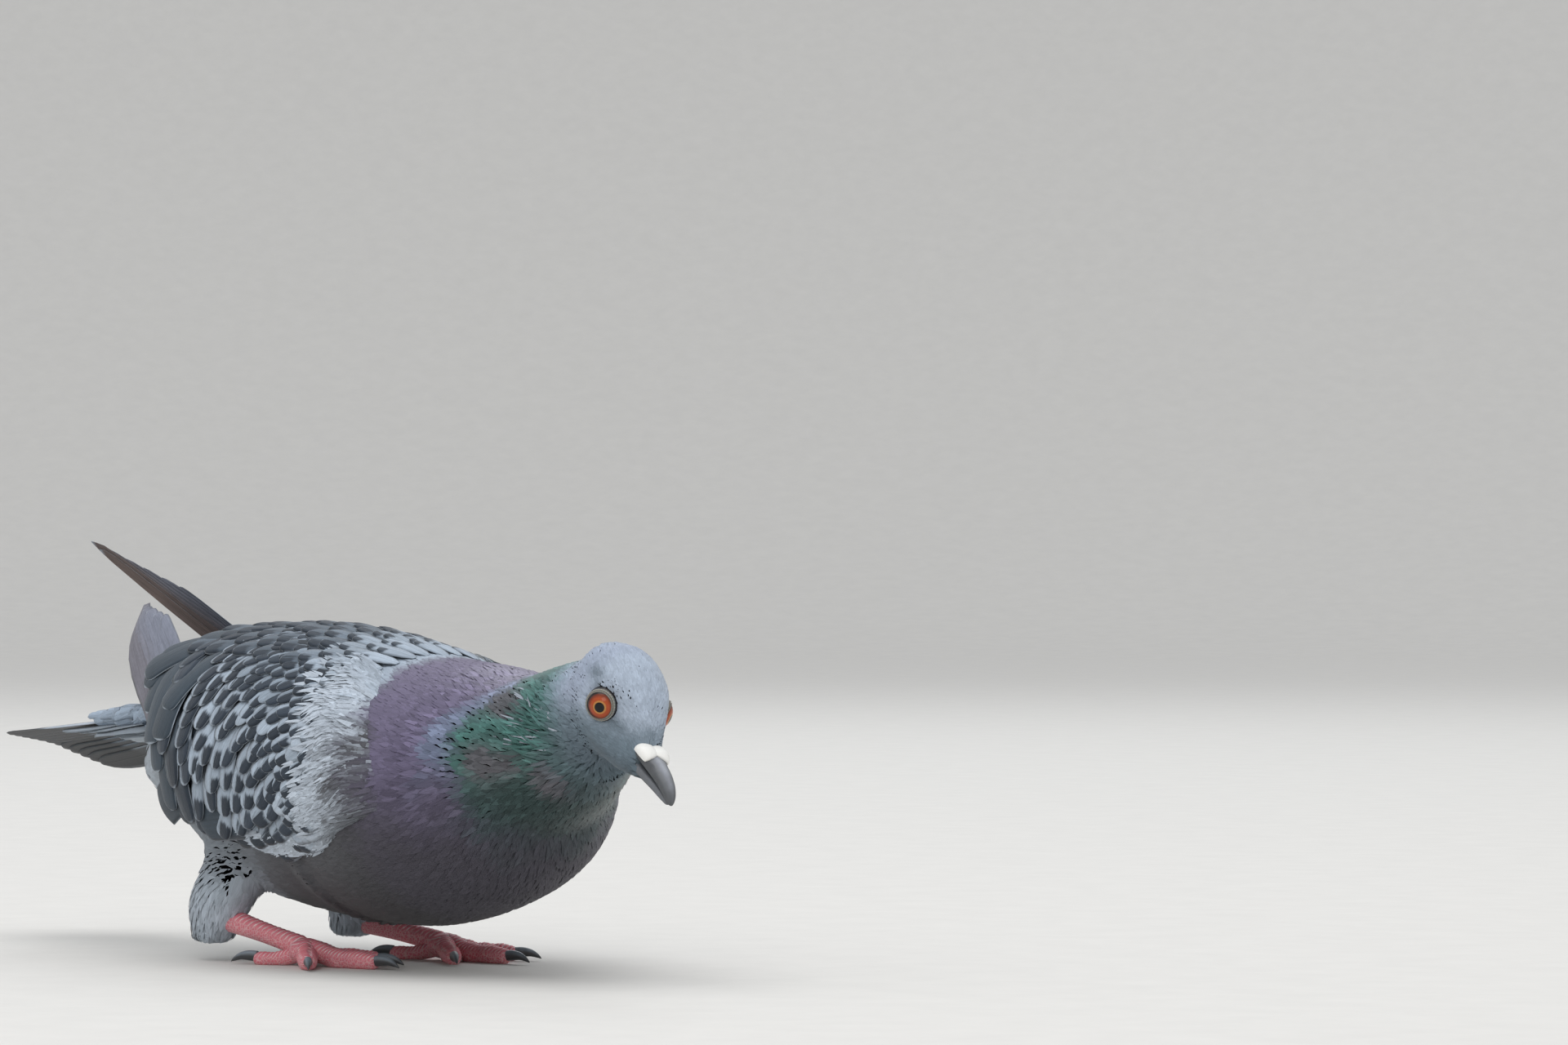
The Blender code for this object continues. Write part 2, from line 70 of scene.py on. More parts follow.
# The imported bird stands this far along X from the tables' own origin.
SHIFT = np.array([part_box("trunk")[0][0] / MM + 90.0, 0.0, 0.0])

# Trunk, cut by upright planes: x, centre height, half width, half height.
TRUNK = [
    (-90, 50.6, 4.0, 3.0), (-84, 50.8, 10.0, 6.8), (-76, 51.5, 15.5, 11.0), (-68, 52.6, 20.0, 15.2),
    (-58, 54.0, 25.0, 20.0), (-45, 53.0, 29.5, 26.0), (-28, 50.0, 34.0, 32.0), (-8, 49.0, 37.0, 35.0),
    (20, 47.9, 39.0, 36.3), (45, 46.6, 40.0, 35.0), (62, 46.2, 37.0, 30.7), (76, 45.2, 30.0, 23.8),
    (85, 44.6, 21.0, 16.6), (90, 44.0, 12.0, 9.8), (92, 43.8, 4.0, 3.4),
]
# Neck: x, centre y, centre z, half width, half height.
NECK = [
    (24, 0.0, 48.0, 22.0, 19.0), (52, 0.0, 50.5, 31.0, 26.6), (66, 0.0, 52.6, 31.5, 26.6),
    (80, -0.5, 54.9, 28.0, 22.6), (93, -1.2, 58.3, 23.0, 20.9), (105, -2.0, 62.8, 18.0, 19.2),
    (115, -2.6, 66.5, 13.0, 15.4),
]
# Head, in its own frame: x, centre height, half width, half height.
HEAD = [
    (-19.0, 1.6, 4.0, 4.2), (-17.2, 1.4, 7.4, 8.2), (-13.0, 0.7, 10.2, 11.9), (-8.0, 0.0, 11.3, 13.4),
    (-3.0, -0.7, 11.1, 13.4), (2.0, -1.5, 10.0, 12.4), (7.0, -2.9, 8.1, 10.5), (10.5, -4.3, 6.3, 7.9),
    (13.2, -5.6, 4.6, 4.9),
]
HEAD_CENTRE = np.array([127.0, -3.0, 69.2])
HEAD_TURN, HEAD_NOD, HEAD_TILT = -8.5, 27.5, -10.0

UPPER_BILL = [
    (13.5, -3.0, -6.6, 3.6), (17.0, -3.3, -7.0, 3.3), (21.0, -3.9, -7.5, 2.8), (24.5, -4.8, -8.1, 2.4),
    (27.5, -6.0, -8.9, 1.9), (29.8, -7.6, -9.8, 1.2), (31.0, -8.9, -10.1, 0.5),
]
LOWER_BILL = [
    (13.5, -6.9, -10.0, 3.3), (18.0, -7.5, -10.3, 2.8), (22.5, -8.2, -10.7, 2.2),
    (26.5, -9.1, -11.1, 1.6), (29.4, -10.2, -11.3, 0.6),
]
CERE_START, CERE_END = 13.4, 18.4
CERE_SADDLE, CERE_LOBE = 0.9, 2.3
EYE_CENTRE, EYE_RADIUS = np.array([-1.8, 7.7, 0.3]), 4.6
EYE_FORWARD = 35.0
# How much further forward the pupil looks, in degrees.
EYE_GAZE = 9.0
# Section of the eye ring: degrees from the eye's axis, height over the eyeball.
EYE_RING = [
    (46.5, -0.05), (47.8, 0.13), (49.8, 0.19), (51.6, 0.11), (52.8, 0.06), (54.8, 0.20), (57.2, 0.25),
    (60.0, 0.12), (63.0, 0.02), (70.0, -0.10), (80.0, -0.45), (88.0, -0.95), (74.0, -1.30),
    (64.0, -1.20), (54.0, -0.90), (47.0, -0.50),
]
# Feathered chin under the lower bill, in the head's frame: x, centre height, half width, half height.
CHIN = [
    (5.0, -7.6, 5.4, 4.4), (13.0, -8.9, 3.9, 2.6), (18.0, -9.7, 2.7, 1.6), (21.5, -10.3, 1.7, 1.0),
    (23.0, -10.6, 0.8, 0.5),
]

# Outline of the folded wings: x, centre height, half width, half height.
WINGS = [
    (72, 45.0, 35.5, 30.5), (50, 46.6, 42.6, 35.2), (25, 48.0, 44.3, 38.0), (0, 49.7, 44.0, 39.8),
    (-25, 51.7, 41.0, 38.2), (-45, 55.5, 35.6, 33.6), (-62, 61.5, 28.0, 27.6), (-80, 70.5, 19.0, 19.0),
]
WING_FRONT = [(0, 42), (0.35, 57), (0.7, 66), (0.88, 62), (1, 50)]
WING_REAR = [(0, -62), (0.3, -62), (0.55, -54), (0.75, -42), (0.9, -28), (1, -14)]
WING_TOP = [(0, 24), (0.35, 10), (0.6, 3), (1, 2.5)]
WING_BOTTOM = [(0, 106), (0.3, 116), (0.55, 116), (0.8, 108), (1, 100)]

# Primaries: leading and trailing edge of each folded fan, from the root to the tip.
PRIMARIES = {
    "right": {
        "leading": [
            (-22, -37.5, 50), (-36, -35, 50.5), (-50, -30, 52.5), (-66, -23, 63.5), (-86, -15, 81),
            (-101, -1, 93.5),
        ],
        "trailing": [
            (-46, -20, 76), (-58, -14, 81), (-70, -8, 87), (-83, -3, 92.5), (-93, 0.5, 96),
            (-101, 2, 96.5),
        ],
    },
    "left": {
        "leading": [
            (-22, 37.5, 50), (-37, 34.5, 51), (-52, 28.5, 56), (-69, 18.5, 71.5), (-92, 7.5, 90),
            (-127, 0, 111.5),
        ],
        "trailing": [
            (-46, 20, 76), (-57, 14.5, 82), (-68, 9, 88), (-88, 5, 99), (-109, 1, 108.5),
            (-127, -0.5, 113.5),
        ],
    },
}

# Tail: x, centre y, centre z, half width, thickness, roll in degrees that lifts the right edge.
TAIL = [
    (-60, 0.0, 63.5, 15.0, 4.5, 6), (-75, 0.2, 61.8, 17.5, 4.0, 8), (-100, 0.6, 58.5, 19.5, 2.4, 11.5),
    (-125, 1.0, 55.1, 21.2, 1.5, 15), (-151, 1.3, 51.8, 22.0, 1.0, 16.5),
]
TAIL_CAMBER, TAIL_ROUNDING = 2.2, 4.5

# Legs: drumstick rows of x, y, z, half length and half width, then the places of the joints and toe tips.
LEGS = {
    "right": {
        "thigh": [
            (-12, -20, 41, 14, 11), (-17.5, -23.5, 27, 12.5, 9), (-23.5, -26, 15, 10.5, 7.8),
            (-26.5, -26.8, 6, 6.4, 5.2),
        ],
        "ankle": (-21.5, -26.5, 11.6),
        "toe_root": (8.5, -20.5, 4.6),
        "toes": {"inner": (26, -9), "middle": (33.5, -15.2), "outer": (25, -31.5), "hind": (-4.5, -28.5)},
    },
    "left": {
        "thigh": [
            (0, 16, 37, 15, 11), (-9, 17, 25, 13, 9.5), (-18, 16, 14.5, 11, 8), (-21.5, 15, 6.5, 7, 5.4),
        ],
        "ankle": (-18.5, 14.5, 9.8),
        "toe_root": (12.5, 21.5, 4.6),
        "toes": {"inner": (30.5, 11.5), "middle": (36.5, 25.2), "outer": (27.5, 34.5), "hind": (-1.5, 13.5)},
    },
}
TARSUS = [(0, 3.2, 3.4), (0.15, 2.9, 3.1), (0.5, 2.4, 2.7), (0.85, 2.6, 2.8), (1, 2.9, 2.9)]
TOE = [(0, 4.6, 2.9), (0.2, 3.5, 2.75), (0.4, 2.4, 2.65), (0.7, 2.2, 2.45), (0.9, 2.0, 2.25), (1, 2.0, 1.6)]
HIND_TOE = [(0, 3.6, 2.1), (0.3, 2.4, 2.0), (0.55, 1.7, 1.9), (0.9, 1.55, 1.75), (1, 1.6, 1.2)]
PAD_RADII = (5.0, 4.6, 3.5)
CLAW_LENGTH = {"inner": 6.0, "middle": 7.0, "outer": 6.0, "hind": 6.0}
CLAW = [(0, 2.2, 1.45), (0.3, 2.4, 1.35), (0.65, 2.1, 0.95), (0.9, 1.2, 0.55), (1, 0.7, 0.32)]
TOE_GAP = 0.6

# Camera: degrees round the bird, distance, sideways offset, height and lens.
VIEW_TURN, VIEW_AWAY, VIEW_ASIDE, VIEW_HEIGHT = 51.3, 1.8, 0.1152, 0.11694
VIEW_LENS, VIEW_SENSOR = 155.0, 36.0


def paint(red, green, blue):
    """Linear RGB of a colour given as display values from 0 to 255."""
    shares = np.array([red, green, blue]) / 255
    return tuple(np.where(shares <= 0.04045, shares / 12.92, ((shares + 0.055) / 1.055) ** 2.4))


# ---------------------------------------------------------------- properties


def colour_property(name, description, display):
    return bpy.props.FloatVectorProperty(
        name=name, description=description, subtype="COLOR", size=3, min=0, max=1, default=paint(*display)
    )


def size_property(name, description, default):
    return bpy.props.FloatProperty(name=name, description=description, default=default, min=0)


class PigeonColours(bpy.types.PropertyGroup):
    """Colours of the plumage and the bare parts."""

    crown: colour_property("Crown", "Top of the head", (168, 180, 196))
    cheek: colour_property("Cheek", "Lower face and chin", (108, 123, 134))
    nape: colour_property("Nape", "Behind the eye", (150, 160, 180))
    green: colour_property("Neck green", "Glossy middle of the neck", (84, 130, 124))
    deep_green: colour_property("Deep green", "Lower throat", (54, 76, 74))
    violet: colour_property("Neck violet", "Band behind the green", (106, 99, 124))
    bronze: colour_property("Bronze", "Dull patches on the neck", (94, 92, 98))
    breast: colour_property("Breast", "Front of the breast and the belly", (60, 59, 63))
    flank: colour_property("Flank", "Side below the wing", (94, 96, 101))
    shoulder: colour_property("Shoulder", "Pale feathers in front of the wing", (184, 194, 206))
    covert: colour_property("Covert", "Ground colour of the wing coverts", (160, 173, 187))
    chequer: colour_property("Chequer", "Dark marks on the wing coverts", (48, 57, 68))
    scapular: colour_property("Scapular", "Feathers of the upper back", (84, 96, 108))
    tertial: colour_property("Tertial", "Large inner wing feathers", (60, 72, 83))
    fringe: colour_property("Fringe", "Thin pale edge of the wing feathers", (168, 179, 191))
    primary: colour_property("Primary", "Outer flight feathers", (124, 129, 144))
    brown: colour_property("Worn brown", "Worn tips of the flight feathers", (104, 90, 84))
    tail: colour_property("Tail", "Tail feathers", (146, 160, 176))
    band: colour_property("Tail band", "Dark end of the tail", (60, 66, 73))
    thigh: colour_property("Thigh", "Feathers of the drumstick", (156, 166, 176))
    scale: colour_property("Scales", "Skin of the legs", (226, 128, 140))
    scale_edge: colour_property("Scale edges", "Worn pale edges of the scales", (250, 228, 228))
    horn: colour_property("Horn", "Bill and claws", (94, 97, 101))
    cere: colour_property("Cere", "Chalky cere", (240, 242, 241))
    iris: colour_property("Iris", "Ring round the pupil", (172, 74, 34))


class PigeonSizes(bpy.types.PropertyGroup):
    """Sizes of the feathers, in millimetres."""

    face_gap: size_property("Face gap", "Distance between feathers at the bill", 0.46)
    crown_gap: size_property("Crown gap", "Distance between feathers on the crown", 0.56)
    neck_gap: size_property("Neck gap", "Distance between feathers on the neck", 0.78)
    breast_gap: size_property("Breast gap", "Distance between feathers on the breast", 0.88)
    belly_gap: size_property("Belly gap", "Distance between feathers on the belly", 1.05)
    back_gap: size_property("Back gap", "Distance between feathers on the rump", 1.7)
    thigh_gap: size_property("Thigh gap", "Distance between feathers on the drumstick", 0.85)
    seed: bpy.props.IntProperty(name="Seed", description="Chooses the scatter of the feathers", default=7)


# ---------------------------------------------------------------- numbers and forms


def follow(table, at):
    """Rows of a table at the given places: a cubic through its points, its slopes taken from both sides."""
    table = np.asarray(table, float)
    table = table[np.argsort(table[:, 0])]
    knots, rows = table[:, 0], table[:, 1:]
    slopes = np.gradient(rows, knots, axis=0)
    at = np.clip(np.asarray(at, float), knots[0], knots[-1])
    span = np.clip(np.searchsorted(knots, at, side="right") - 1, 0, len(knots) - 2)
    width = (knots[span + 1] - knots[span])[..., None]
    t = (at - knots[span])[..., None] / width
    return (
        (2 * t**3 - 3 * t**2 + 1) * rows[span]
        + (t**3 - 2 * t**2 + t) * width * slopes[span]
        + (3 * t**2 - 2 * t**3) * rows[span + 1]
        + (t**3 - t**2) * width * slopes[span + 1]
    )


def columns(table, at):
    """The rows of follow() as separate arrays."""
    return np.moveaxis(follow(table, at), -1, 0)


def rise(low, high, value):
    """Smooth step from 0 at low to 1 at high."""
    t = np.clip((value - low) / (high - low), 0, 1)
    return t * t * (3 - 2 * t)


def stacked(*arrays):
    """Arrays side by side along a new last axis."""
    return np.stack(arrays, axis=-1)


def spread(*arrays):
    """Arrays brought to one size, side by side along a new last axis."""
    return np.stack(np.broadcast_arrays(*arrays), axis=-1)


def circle(count):
    """Angles once round, the last one short of the first."""
    return np.linspace(0, 2 * math.pi, count, endpoint=False)


def each(row, count):
    """The same row for each of many blades."""
    return np.tile(row, (count, 1))


def uneven(rng, spread, count):
    """A brightness near 1 for each of many blades."""
    return np.exp(rng.normal(0, spread, count))[:, None]


def crossed(first, second):
    """Two lists of numbers as a grid, the first running down the rows."""
    return np.meshgrid(first, second, indexing="ij")


def unit(vectors):
    return vectors / np.maximum(np.linalg.norm(vectors, axis=-1, keepdims=True), 1e-9)


def blob(points, centre, radius):
    """Bell-shaped weight round a centre."""
    return np.exp(-(((points - np.array(centre)) / np.array(radius)) ** 2).sum(axis=-1))


def waves(points, length, seed):
    """Smooth noise from -1 to 1: the mean of sine waves in seeded directions."""
    rng = np.random.default_rng(seed)
    ways = unit(rng.normal(size=(7, 3))) * rng.uniform(0.7, 1.5, (7, 1)) * 2 * math.pi / length
    return np.sin(points @ ways.T + rng.uniform(0, 2 * math.pi, 7)).sum(axis=-1) / 3.2


def head_matrix():
    turn = (
        Matrix.Rotation(math.radians(HEAD_TURN), 3, "Z")
        @ Matrix.Rotation(math.radians(HEAD_NOD), 3, "Y")
        @ Matrix.Rotation(math.radians(HEAD_TILT), 3, "X")
    )
    return np.array(turn)


HEAD_AXES = head_matrix()


def from_head(points):
    """Points of the head's own frame (x along the bill, y left, z up) in the bird's frame."""
    return np.asarray(points) @ HEAD_AXES.T + HEAD_CENTRE


def to_head(points):
    return (np.asarray(points) - HEAD_CENTRE) @ HEAD_AXES


def tube_level(along, across, up, table):
    """1 on the wall of an elliptical tube whose rows give centre and half sizes, closed at both ends."""
    ends = np.sort(np.asarray(table, float)[:, 0])
    past = np.maximum(0, np.maximum(ends[0] - along, along - ends[-1])) / 1.5
    return np.sqrt(across**2 + up**2 + past**2)


def rounds_level(table, points):
    """tube_level of a tube along x whose rows give centre height, half width and half height."""
    centre, width, height = columns(table, points[..., 0])
    return tube_level(points[..., 0], points[..., 1] / width, (points[..., 2] - centre) / height, table)


def trunk_level(points):
    return rounds_level(TRUNK, points)


def neck_level(points):
    middle, centre, width, height = columns(NECK, points[..., 0])
    across, up = (points[..., 1] - middle) / width, (points[..., 2] - centre) / height
    return tube_level(points[..., 0], across, up, NECK)


def head_level(points):
    return rounds_level(HEAD, to_head(points))


def chin_level(points):
    return rounds_level(CHIN, to_head(points))


def eye_axis(side, gaze=0.0):
    """The way an eye looks, in the head's frame."""
    turn = math.radians(EYE_FORWARD + gaze)
    return np.array([math.sin(turn), side * math.cos(turn), 0.0])


def round_eye(points, side):
    """Distance out from an eye's axis, height along it, and the outward direction in the bird's frame."""
    local = to_head(points) - EYE_CENTRE * (1, side, 1)
    high = local @ eye_axis(side)
    out = local - high[..., None] * eye_axis(side)
    return np.linalg.norm(out, axis=-1), high, unit(out) @ HEAD_AXES.T


def eye_dish(points):
    """Positive above a wide cone round each eye: what the face is hollowed by."""
    deepest = None
    for side in SIDES.values():
        out, high, _ = round_eye(points, side)
        above = (high - 1.7 - 0.36 * (out - 4.2)) / 1.06
        deepest = above if deepest is None else np.maximum(deepest, above)
    return deepest


def thigh_rows(name):
    return [(z, x, y, length, width) for x, y, z, length, width in LEGS[name]["thigh"]]


def thigh_level(points, name):
    x, y, length, width = columns(thigh_rows(name), points[..., 2])
    along, across = (points[..., 0] - x) / length, (points[..., 1] - y) / width
    return tube_level(points[..., 2], along, across, thigh_rows(name))


def wing_level(points):
    return rounds_level(WINGS, points)


def tail_base_level(points):
    """The first part of the tail as a flat tube, so that the rump feathers run out over it."""
    y, z, width, thickness, roll = columns(TAIL, points[..., 0])
    past = np.maximum(0, -104 - points[..., 0]) / 1.5
    roll = np.radians(roll)
    across = (points[..., 1] - y) * np.cos(roll) - (points[..., 2] - z) * np.sin(roll)
    up = (points[..., 1] - y) * np.sin(roll) + (points[..., 2] - z) * np.cos(roll)
    return tube_level(points[..., 0], across / width, (up - 0.8) / (thickness / 2 + 2.2), TAIL[:3]) + past


def joined(first, second, width):
    """Union of two distances, rounded over the given width."""
    share = np.clip(0.5 + 0.5 * (second - first) / width, 0, 1)
    return second + (first - second) * share - width * share * (1 - share)


class Form:
    """Signed distance to a form on a regular grid. Values between grid points are read linearly."""

    PITCH = 1.25

    def __init__(self, low, high, parts, hollow=None):
        self.low = np.array(low, float)
        axes = [np.arange(start, end + self.PITCH, self.PITCH) for start, end in zip(low, high)]
        points = np.stack(np.meshgrid(*axes, indexing="ij"), axis=-1)
        distance = None
        for level, width in parts:
            values = level(points)
            slope = np.sqrt(sum(part**2 for part in np.gradient(values, self.PITCH)))
            away = (values - 1) / np.maximum(slope, 0.004)
            if distance is not None:
                soft = width(points) if callable(width) else width
                away = joined(distance, away, soft)
            distance = away
        distance = self.smoothed(distance, rise(40, 50, axes[0]) * (1 - rise(102, 110, axes[0])))
        if hollow:
            distance = -joined(-distance, -hollow(points), 1.6)
        self.values = stacked(distance, *np.gradient(distance, self.PITCH))

    def smoothed(self, distance, share):
        """The grid averaged with its neighbours several times where share, which runs along x, is 1."""
        for step in range(15):
            axis = step % 3
            near = np.take(distance, np.clip(np.arange(-1, distance.shape[axis] - 1), 0, None), axis)
            size = distance.shape[axis]
            far = np.take(distance, np.clip(np.arange(1, size + 1), None, size - 1), axis)
            middle = (near + far + 2 * distance) / 4
            distance = distance + (middle - distance) * share[:, None, None]
        return distance

    def read(self, points):
        """Distance and its gradient at the points."""
        place = (points - self.low) / self.PITCH
        limit = np.array(self.values.shape[:3]) - 1.001
        place = np.clip(place, 0, limit)
        cell = place.astype(int)
        share = place - cell
        found = 0
        for corner in np.ndindex(2, 2, 2):
            weight = np.prod(np.where(corner, share, 1 - share), axis=-1)
            x, y, z = np.moveaxis(cell + corner, -1, 0)
            found = found + self.values[x, y, z] * weight[..., None]
        return found[..., 0], found[..., 1:]

    def settle(self, points, height, steps=3):
        """Moves points along the gradient until each is at its height above the form."""
        for _ in range(steps):
            distance, slope = self.read(points)
            size = np.maximum((slope**2).sum(axis=-1), 0.05)
            points = points - slope * ((distance - height) / size)[..., None]
        return points

    def normal(self, points):
        return unit(self.read(points)[1])


def neck_join(points):
    """Rounding between trunk and neck. It narrows where the trunk ends inside the neck."""
    return 9.0 - 7.0 * rise(79, 90, points[..., 0])


def body_form(with_tail):
    parts = [(trunk_level, 0), (neck_level, neck_join), (head_level, 5), (chin_level, 2)]
    parts += [(lambda points, name=name: thigh_level(points, name), 5) for name in LEGS]
    if with_tail:
        parts.append((tail_base_level, 7))
    return Form((-112, -50, -3), (154, 50, 96), parts, eye_dish)


FLESH = body_form(False)
COAT = body_form(True)
WING = Form((-90, -54, -2), (80, 54, 100), [(wing_level, 0)])


# ---------------------------------------------------------------- meshes


def place_object(name, data):
    made = bpy.data.objects.new(name, data)
    bpy.context.collection.objects.link(made)
    return made


def make_mesh(name, points, faces):
    """Object from points in millimetres and a list of face index arrays, each of one face size."""
    mesh = bpy.data.meshes.new(name)
    points = (np.asarray(points, float).reshape(-1, 3) + SHIFT) * MM
    sizes = np.concatenate([np.full(len(block), block.shape[1]) for block in faces])
    corners = np.concatenate([block.ravel() for block in faces])
    mesh.vertices.add(len(points))
    mesh.vertices.foreach_set("co", points.astype(np.float32).ravel())
    mesh.loops.add(len(corners))
    mesh.loops.foreach_set("vertex_index", corners.astype(np.int32))
    mesh.polygons.add(len(sizes))
    mesh.polygons.foreach_set("loop_start", (np.cumsum(sizes) - sizes).astype(np.int32))
    mesh.update(calc_edges=True)
    mesh.validate()
    mesh.shade_smooth()
    return place_object(name, mesh)


def grid_faces(rows, size, closed):
    """Quads between neighbouring rows of points, joined round when closed."""
    row, corner = crossed(np.arange(rows - 1), np.arange(size if closed else size - 1))
    after = (corner + 1) % size
    quads = [row * size + corner, row * size + after, (row + 1) * size + after, (row + 1) * size + corner]
    return np.stack(quads, axis=-1).reshape(-1, 4)


def tube_mesh(rings):
    """Points and faces of a closed tube: rings of equal size, each end closed to its centre."""
    count, size = rings.shape[:2]
    quads = grid_faces(count, size, True)
    corner = np.arange(size)
    after = (corner + 1) % size
    first, last = count * size, count * size + 1
    start = stacked(np.full(size, first), after, corner)
    end = stacked(np.full(size, last), (count - 1) * size + corner, (count - 1) * size + after)
    points = np.concatenate([rings.reshape(-1, 3), [rings[0].mean(axis=0)], [rings[-1].mean(axis=0)]])
    return points, quads, np.concatenate([start, end])


def with_ends(values):
    """Values of a tube's rings with those of the two points that close it."""
    return np.concatenate([values, values[:1], values[-1:]])


def plate_mesh(outer, inner):
    """Points and faces of a closed plate between two grids of the same size."""
    rows, size = outer.shape[:2]
    total = rows * size
    face = grid_faces(rows, size, False)
    index = np.arange(total).reshape(rows, size)
    border = np.concatenate([index[0], index[1:, -1], index[-1, -2::-1], index[-2:0:-1, 0]])
    after = np.roll(border, -1)
    rim = stacked(border, after, after + total, border + total)
    faces = np.concatenate([face[:, ::-1], face + total, rim])
    return np.concatenate([outer.reshape(-1, 3), inner.reshape(-1, 3)]), faces


def face_outwards(made):
    """Turns the faces of a closed mesh outwards."""
    shape = bmesh.new()
    shape.from_mesh(made.data)
    bmesh.ops.recalc_face_normals(shape, faces=shape.faces)
    shape.to_mesh(made.data)
    shape.free()
    return made


def join_parts(parts):
    """One points array and one list of face blocks from several meshes' points and face blocks."""
    points, faces, start = [], [], 0
    for own_points, *own_faces in parts:
        points.append(own_points)
        faces += [block + start for block in own_faces]
        start += len(own_points)
    return np.concatenate(points), faces


def set_attribute(made, name, values):
    """One value for each vertex: four numbers for a colour, three for the others."""
    if name in ("vane", "marks", "size"):
        layer = made.data.attributes.new(name, "FLOAT_VECTOR", "POINT")
        layer.data.foreach_set("vector", values.astype(np.float32).ravel())
        return
    layer = made.data.attributes.new(name, "FLOAT_COLOR", "POINT")
    values = np.concatenate([values, np.ones((*values.shape[:-1], 1))], axis=-1)
    layer.data.foreach_set("color", values.astype(np.float32).ravel())


def set_bake_map(made, place):
    """UV map for baking, from one place for each vertex."""
    layer = made.data.uv_layers.new(name="OFBake")
    corners = np.empty(len(made.data.loops), np.int32)
    made.data.loops.foreach_get("vertex_index", corners)
    layer.uv.foreach_set("vector", np.clip(place, 0, 1)[corners].astype(np.float32).ravel())


def finish_piece(made, finish, nodes=()):
    made.data.materials.clear()
    made.data.materials.append(finish)
    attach(made, "root")
    if nodes:
        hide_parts(*nodes)
    return made


def closed_piece(name, points, faces, attribute, values, places, finish, slot, nodes=()):
    """A closed piece with the attribute that its finish reads and its map for baking."""
    made = face_outwards(make_mesh(name, points, faces))
    set_attribute(made, attribute, values)
    set_bake_map(made, places)
    return finish_piece(made, finish, nodes)


# ---------------------------------------------------------------- materials


class Wire:
    """A socket's value. Arithmetic on it adds Math nodes."""

    def __init__(self, recipe, socket):
        self.recipe, self.socket = recipe, socket

    def sum_of(self, operation, *values):
        return self.recipe.node("ShaderNodeMath", {"operation": operation}, dict(enumerate(values)))

    def __add__(self, other):
        return self.sum_of("ADD", self, other)

    __radd__ = __add__

    def __sub__(self, other):
        return self.sum_of("SUBTRACT", self, other)

    def __rsub__(self, other):
        return self.sum_of("SUBTRACT", other, self)

    def __mul__(self, other):
        return self.sum_of("MULTIPLY", self, other)

    __rmul__ = __mul__

    def __pow__(self, other):
        return self.sum_of("POWER", self, other)

    def __abs__(self):
        return self.sum_of("ABSOLUTE", self)

    def between(self, low, high):
        """Smooth step from 0 at low to 1 at high."""
        values = {"Value": self, "From Min": low, "From Max": high}
        return self.recipe.node("ShaderNodeMapRange", {"interpolation_type": "SMOOTHSTEP"}, values)


class Recipe:
    """The nodes of one material."""

    def __init__(self, name, **constants):
        self.material = bpy.data.materials.new(name)
        self.material.use_nodes = True
        self.tree = self.material.node_tree
        self.shader = self.tree.nodes["Principled BSDF"]
        for socket, value in constants.items():
            self.shader.inputs[socket.replace("_", " ").title().replace("Ior", "IOR")].default_value = value

    def put(self, socket, value):
        if isinstance(value, Wire):
            self.tree.links.new(value.socket, socket)
        elif value is not None:
            socket.default_value = (*value, 1.0) if socket.type == "RGBA" and len(value) == 3 else value

    def node(self, kind, settings=None, values=None, output=0):
        made = self.tree.nodes.new(kind)
        for name, value in (settings or {}).items():
            setattr(made, name, value)
        for name, value in (values or {}).items():
            self.put(made.inputs[name], value)
        return Wire(self, made.outputs[output])

    def attribute(self, name, output="Color"):
        return self.node("ShaderNodeAttribute", {"attribute_name": name}, output=output)

    def parts(self, vector):
        split = self.node("ShaderNodeSeparateXYZ", values={0: vector}).socket.node
        return [Wire(self, socket) for socket in split.outputs]

    def vector(self, x, y, z):
        return self.node("ShaderNodeCombineXYZ", values={0: x, 1: y, 2: z})

    def mix(self, first, second, factor, mode="MIX"):
        settings = {"data_type": "RGBA", "blend_type": mode}
        return self.node("ShaderNodeMix", settings, {0: factor, 6: first, 7: second}, output=2)

    def noise(self, vector, scale, detail=2.0, roughness=0.5):
        values = {"Vector": vector, "Scale": scale, "Detail": detail, "Roughness": roughness}
        return self.node("ShaderNodeTexNoise", values=values)

    def place(self):
        return self.node("ShaderNodeTexCoord", output="Object")

    def lit(self, colour, value):
        """Colour multiplied by a plain number of brightness."""
        return self.mix(colour, self.vector(value, value, value), 1.0, "MULTIPLY")

    def done(self, colour, roughness=None, height=None, strength=0.4, distance=0.0002, metallic=None):
        self.put(self.shader.inputs["Base Color"], colour)
        if roughness is not None:
            self.put(self.shader.inputs["Roughness"], roughness)
        if metallic is not None:
            self.put(self.shader.inputs["Metallic"], metallic)
        if height is not None:
            values = {"Height": height, "Strength": strength, "Distance": distance}
            self.put(self.shader.inputs["Normal"], self.node("ShaderNodeBump", values=values))
        return self.material


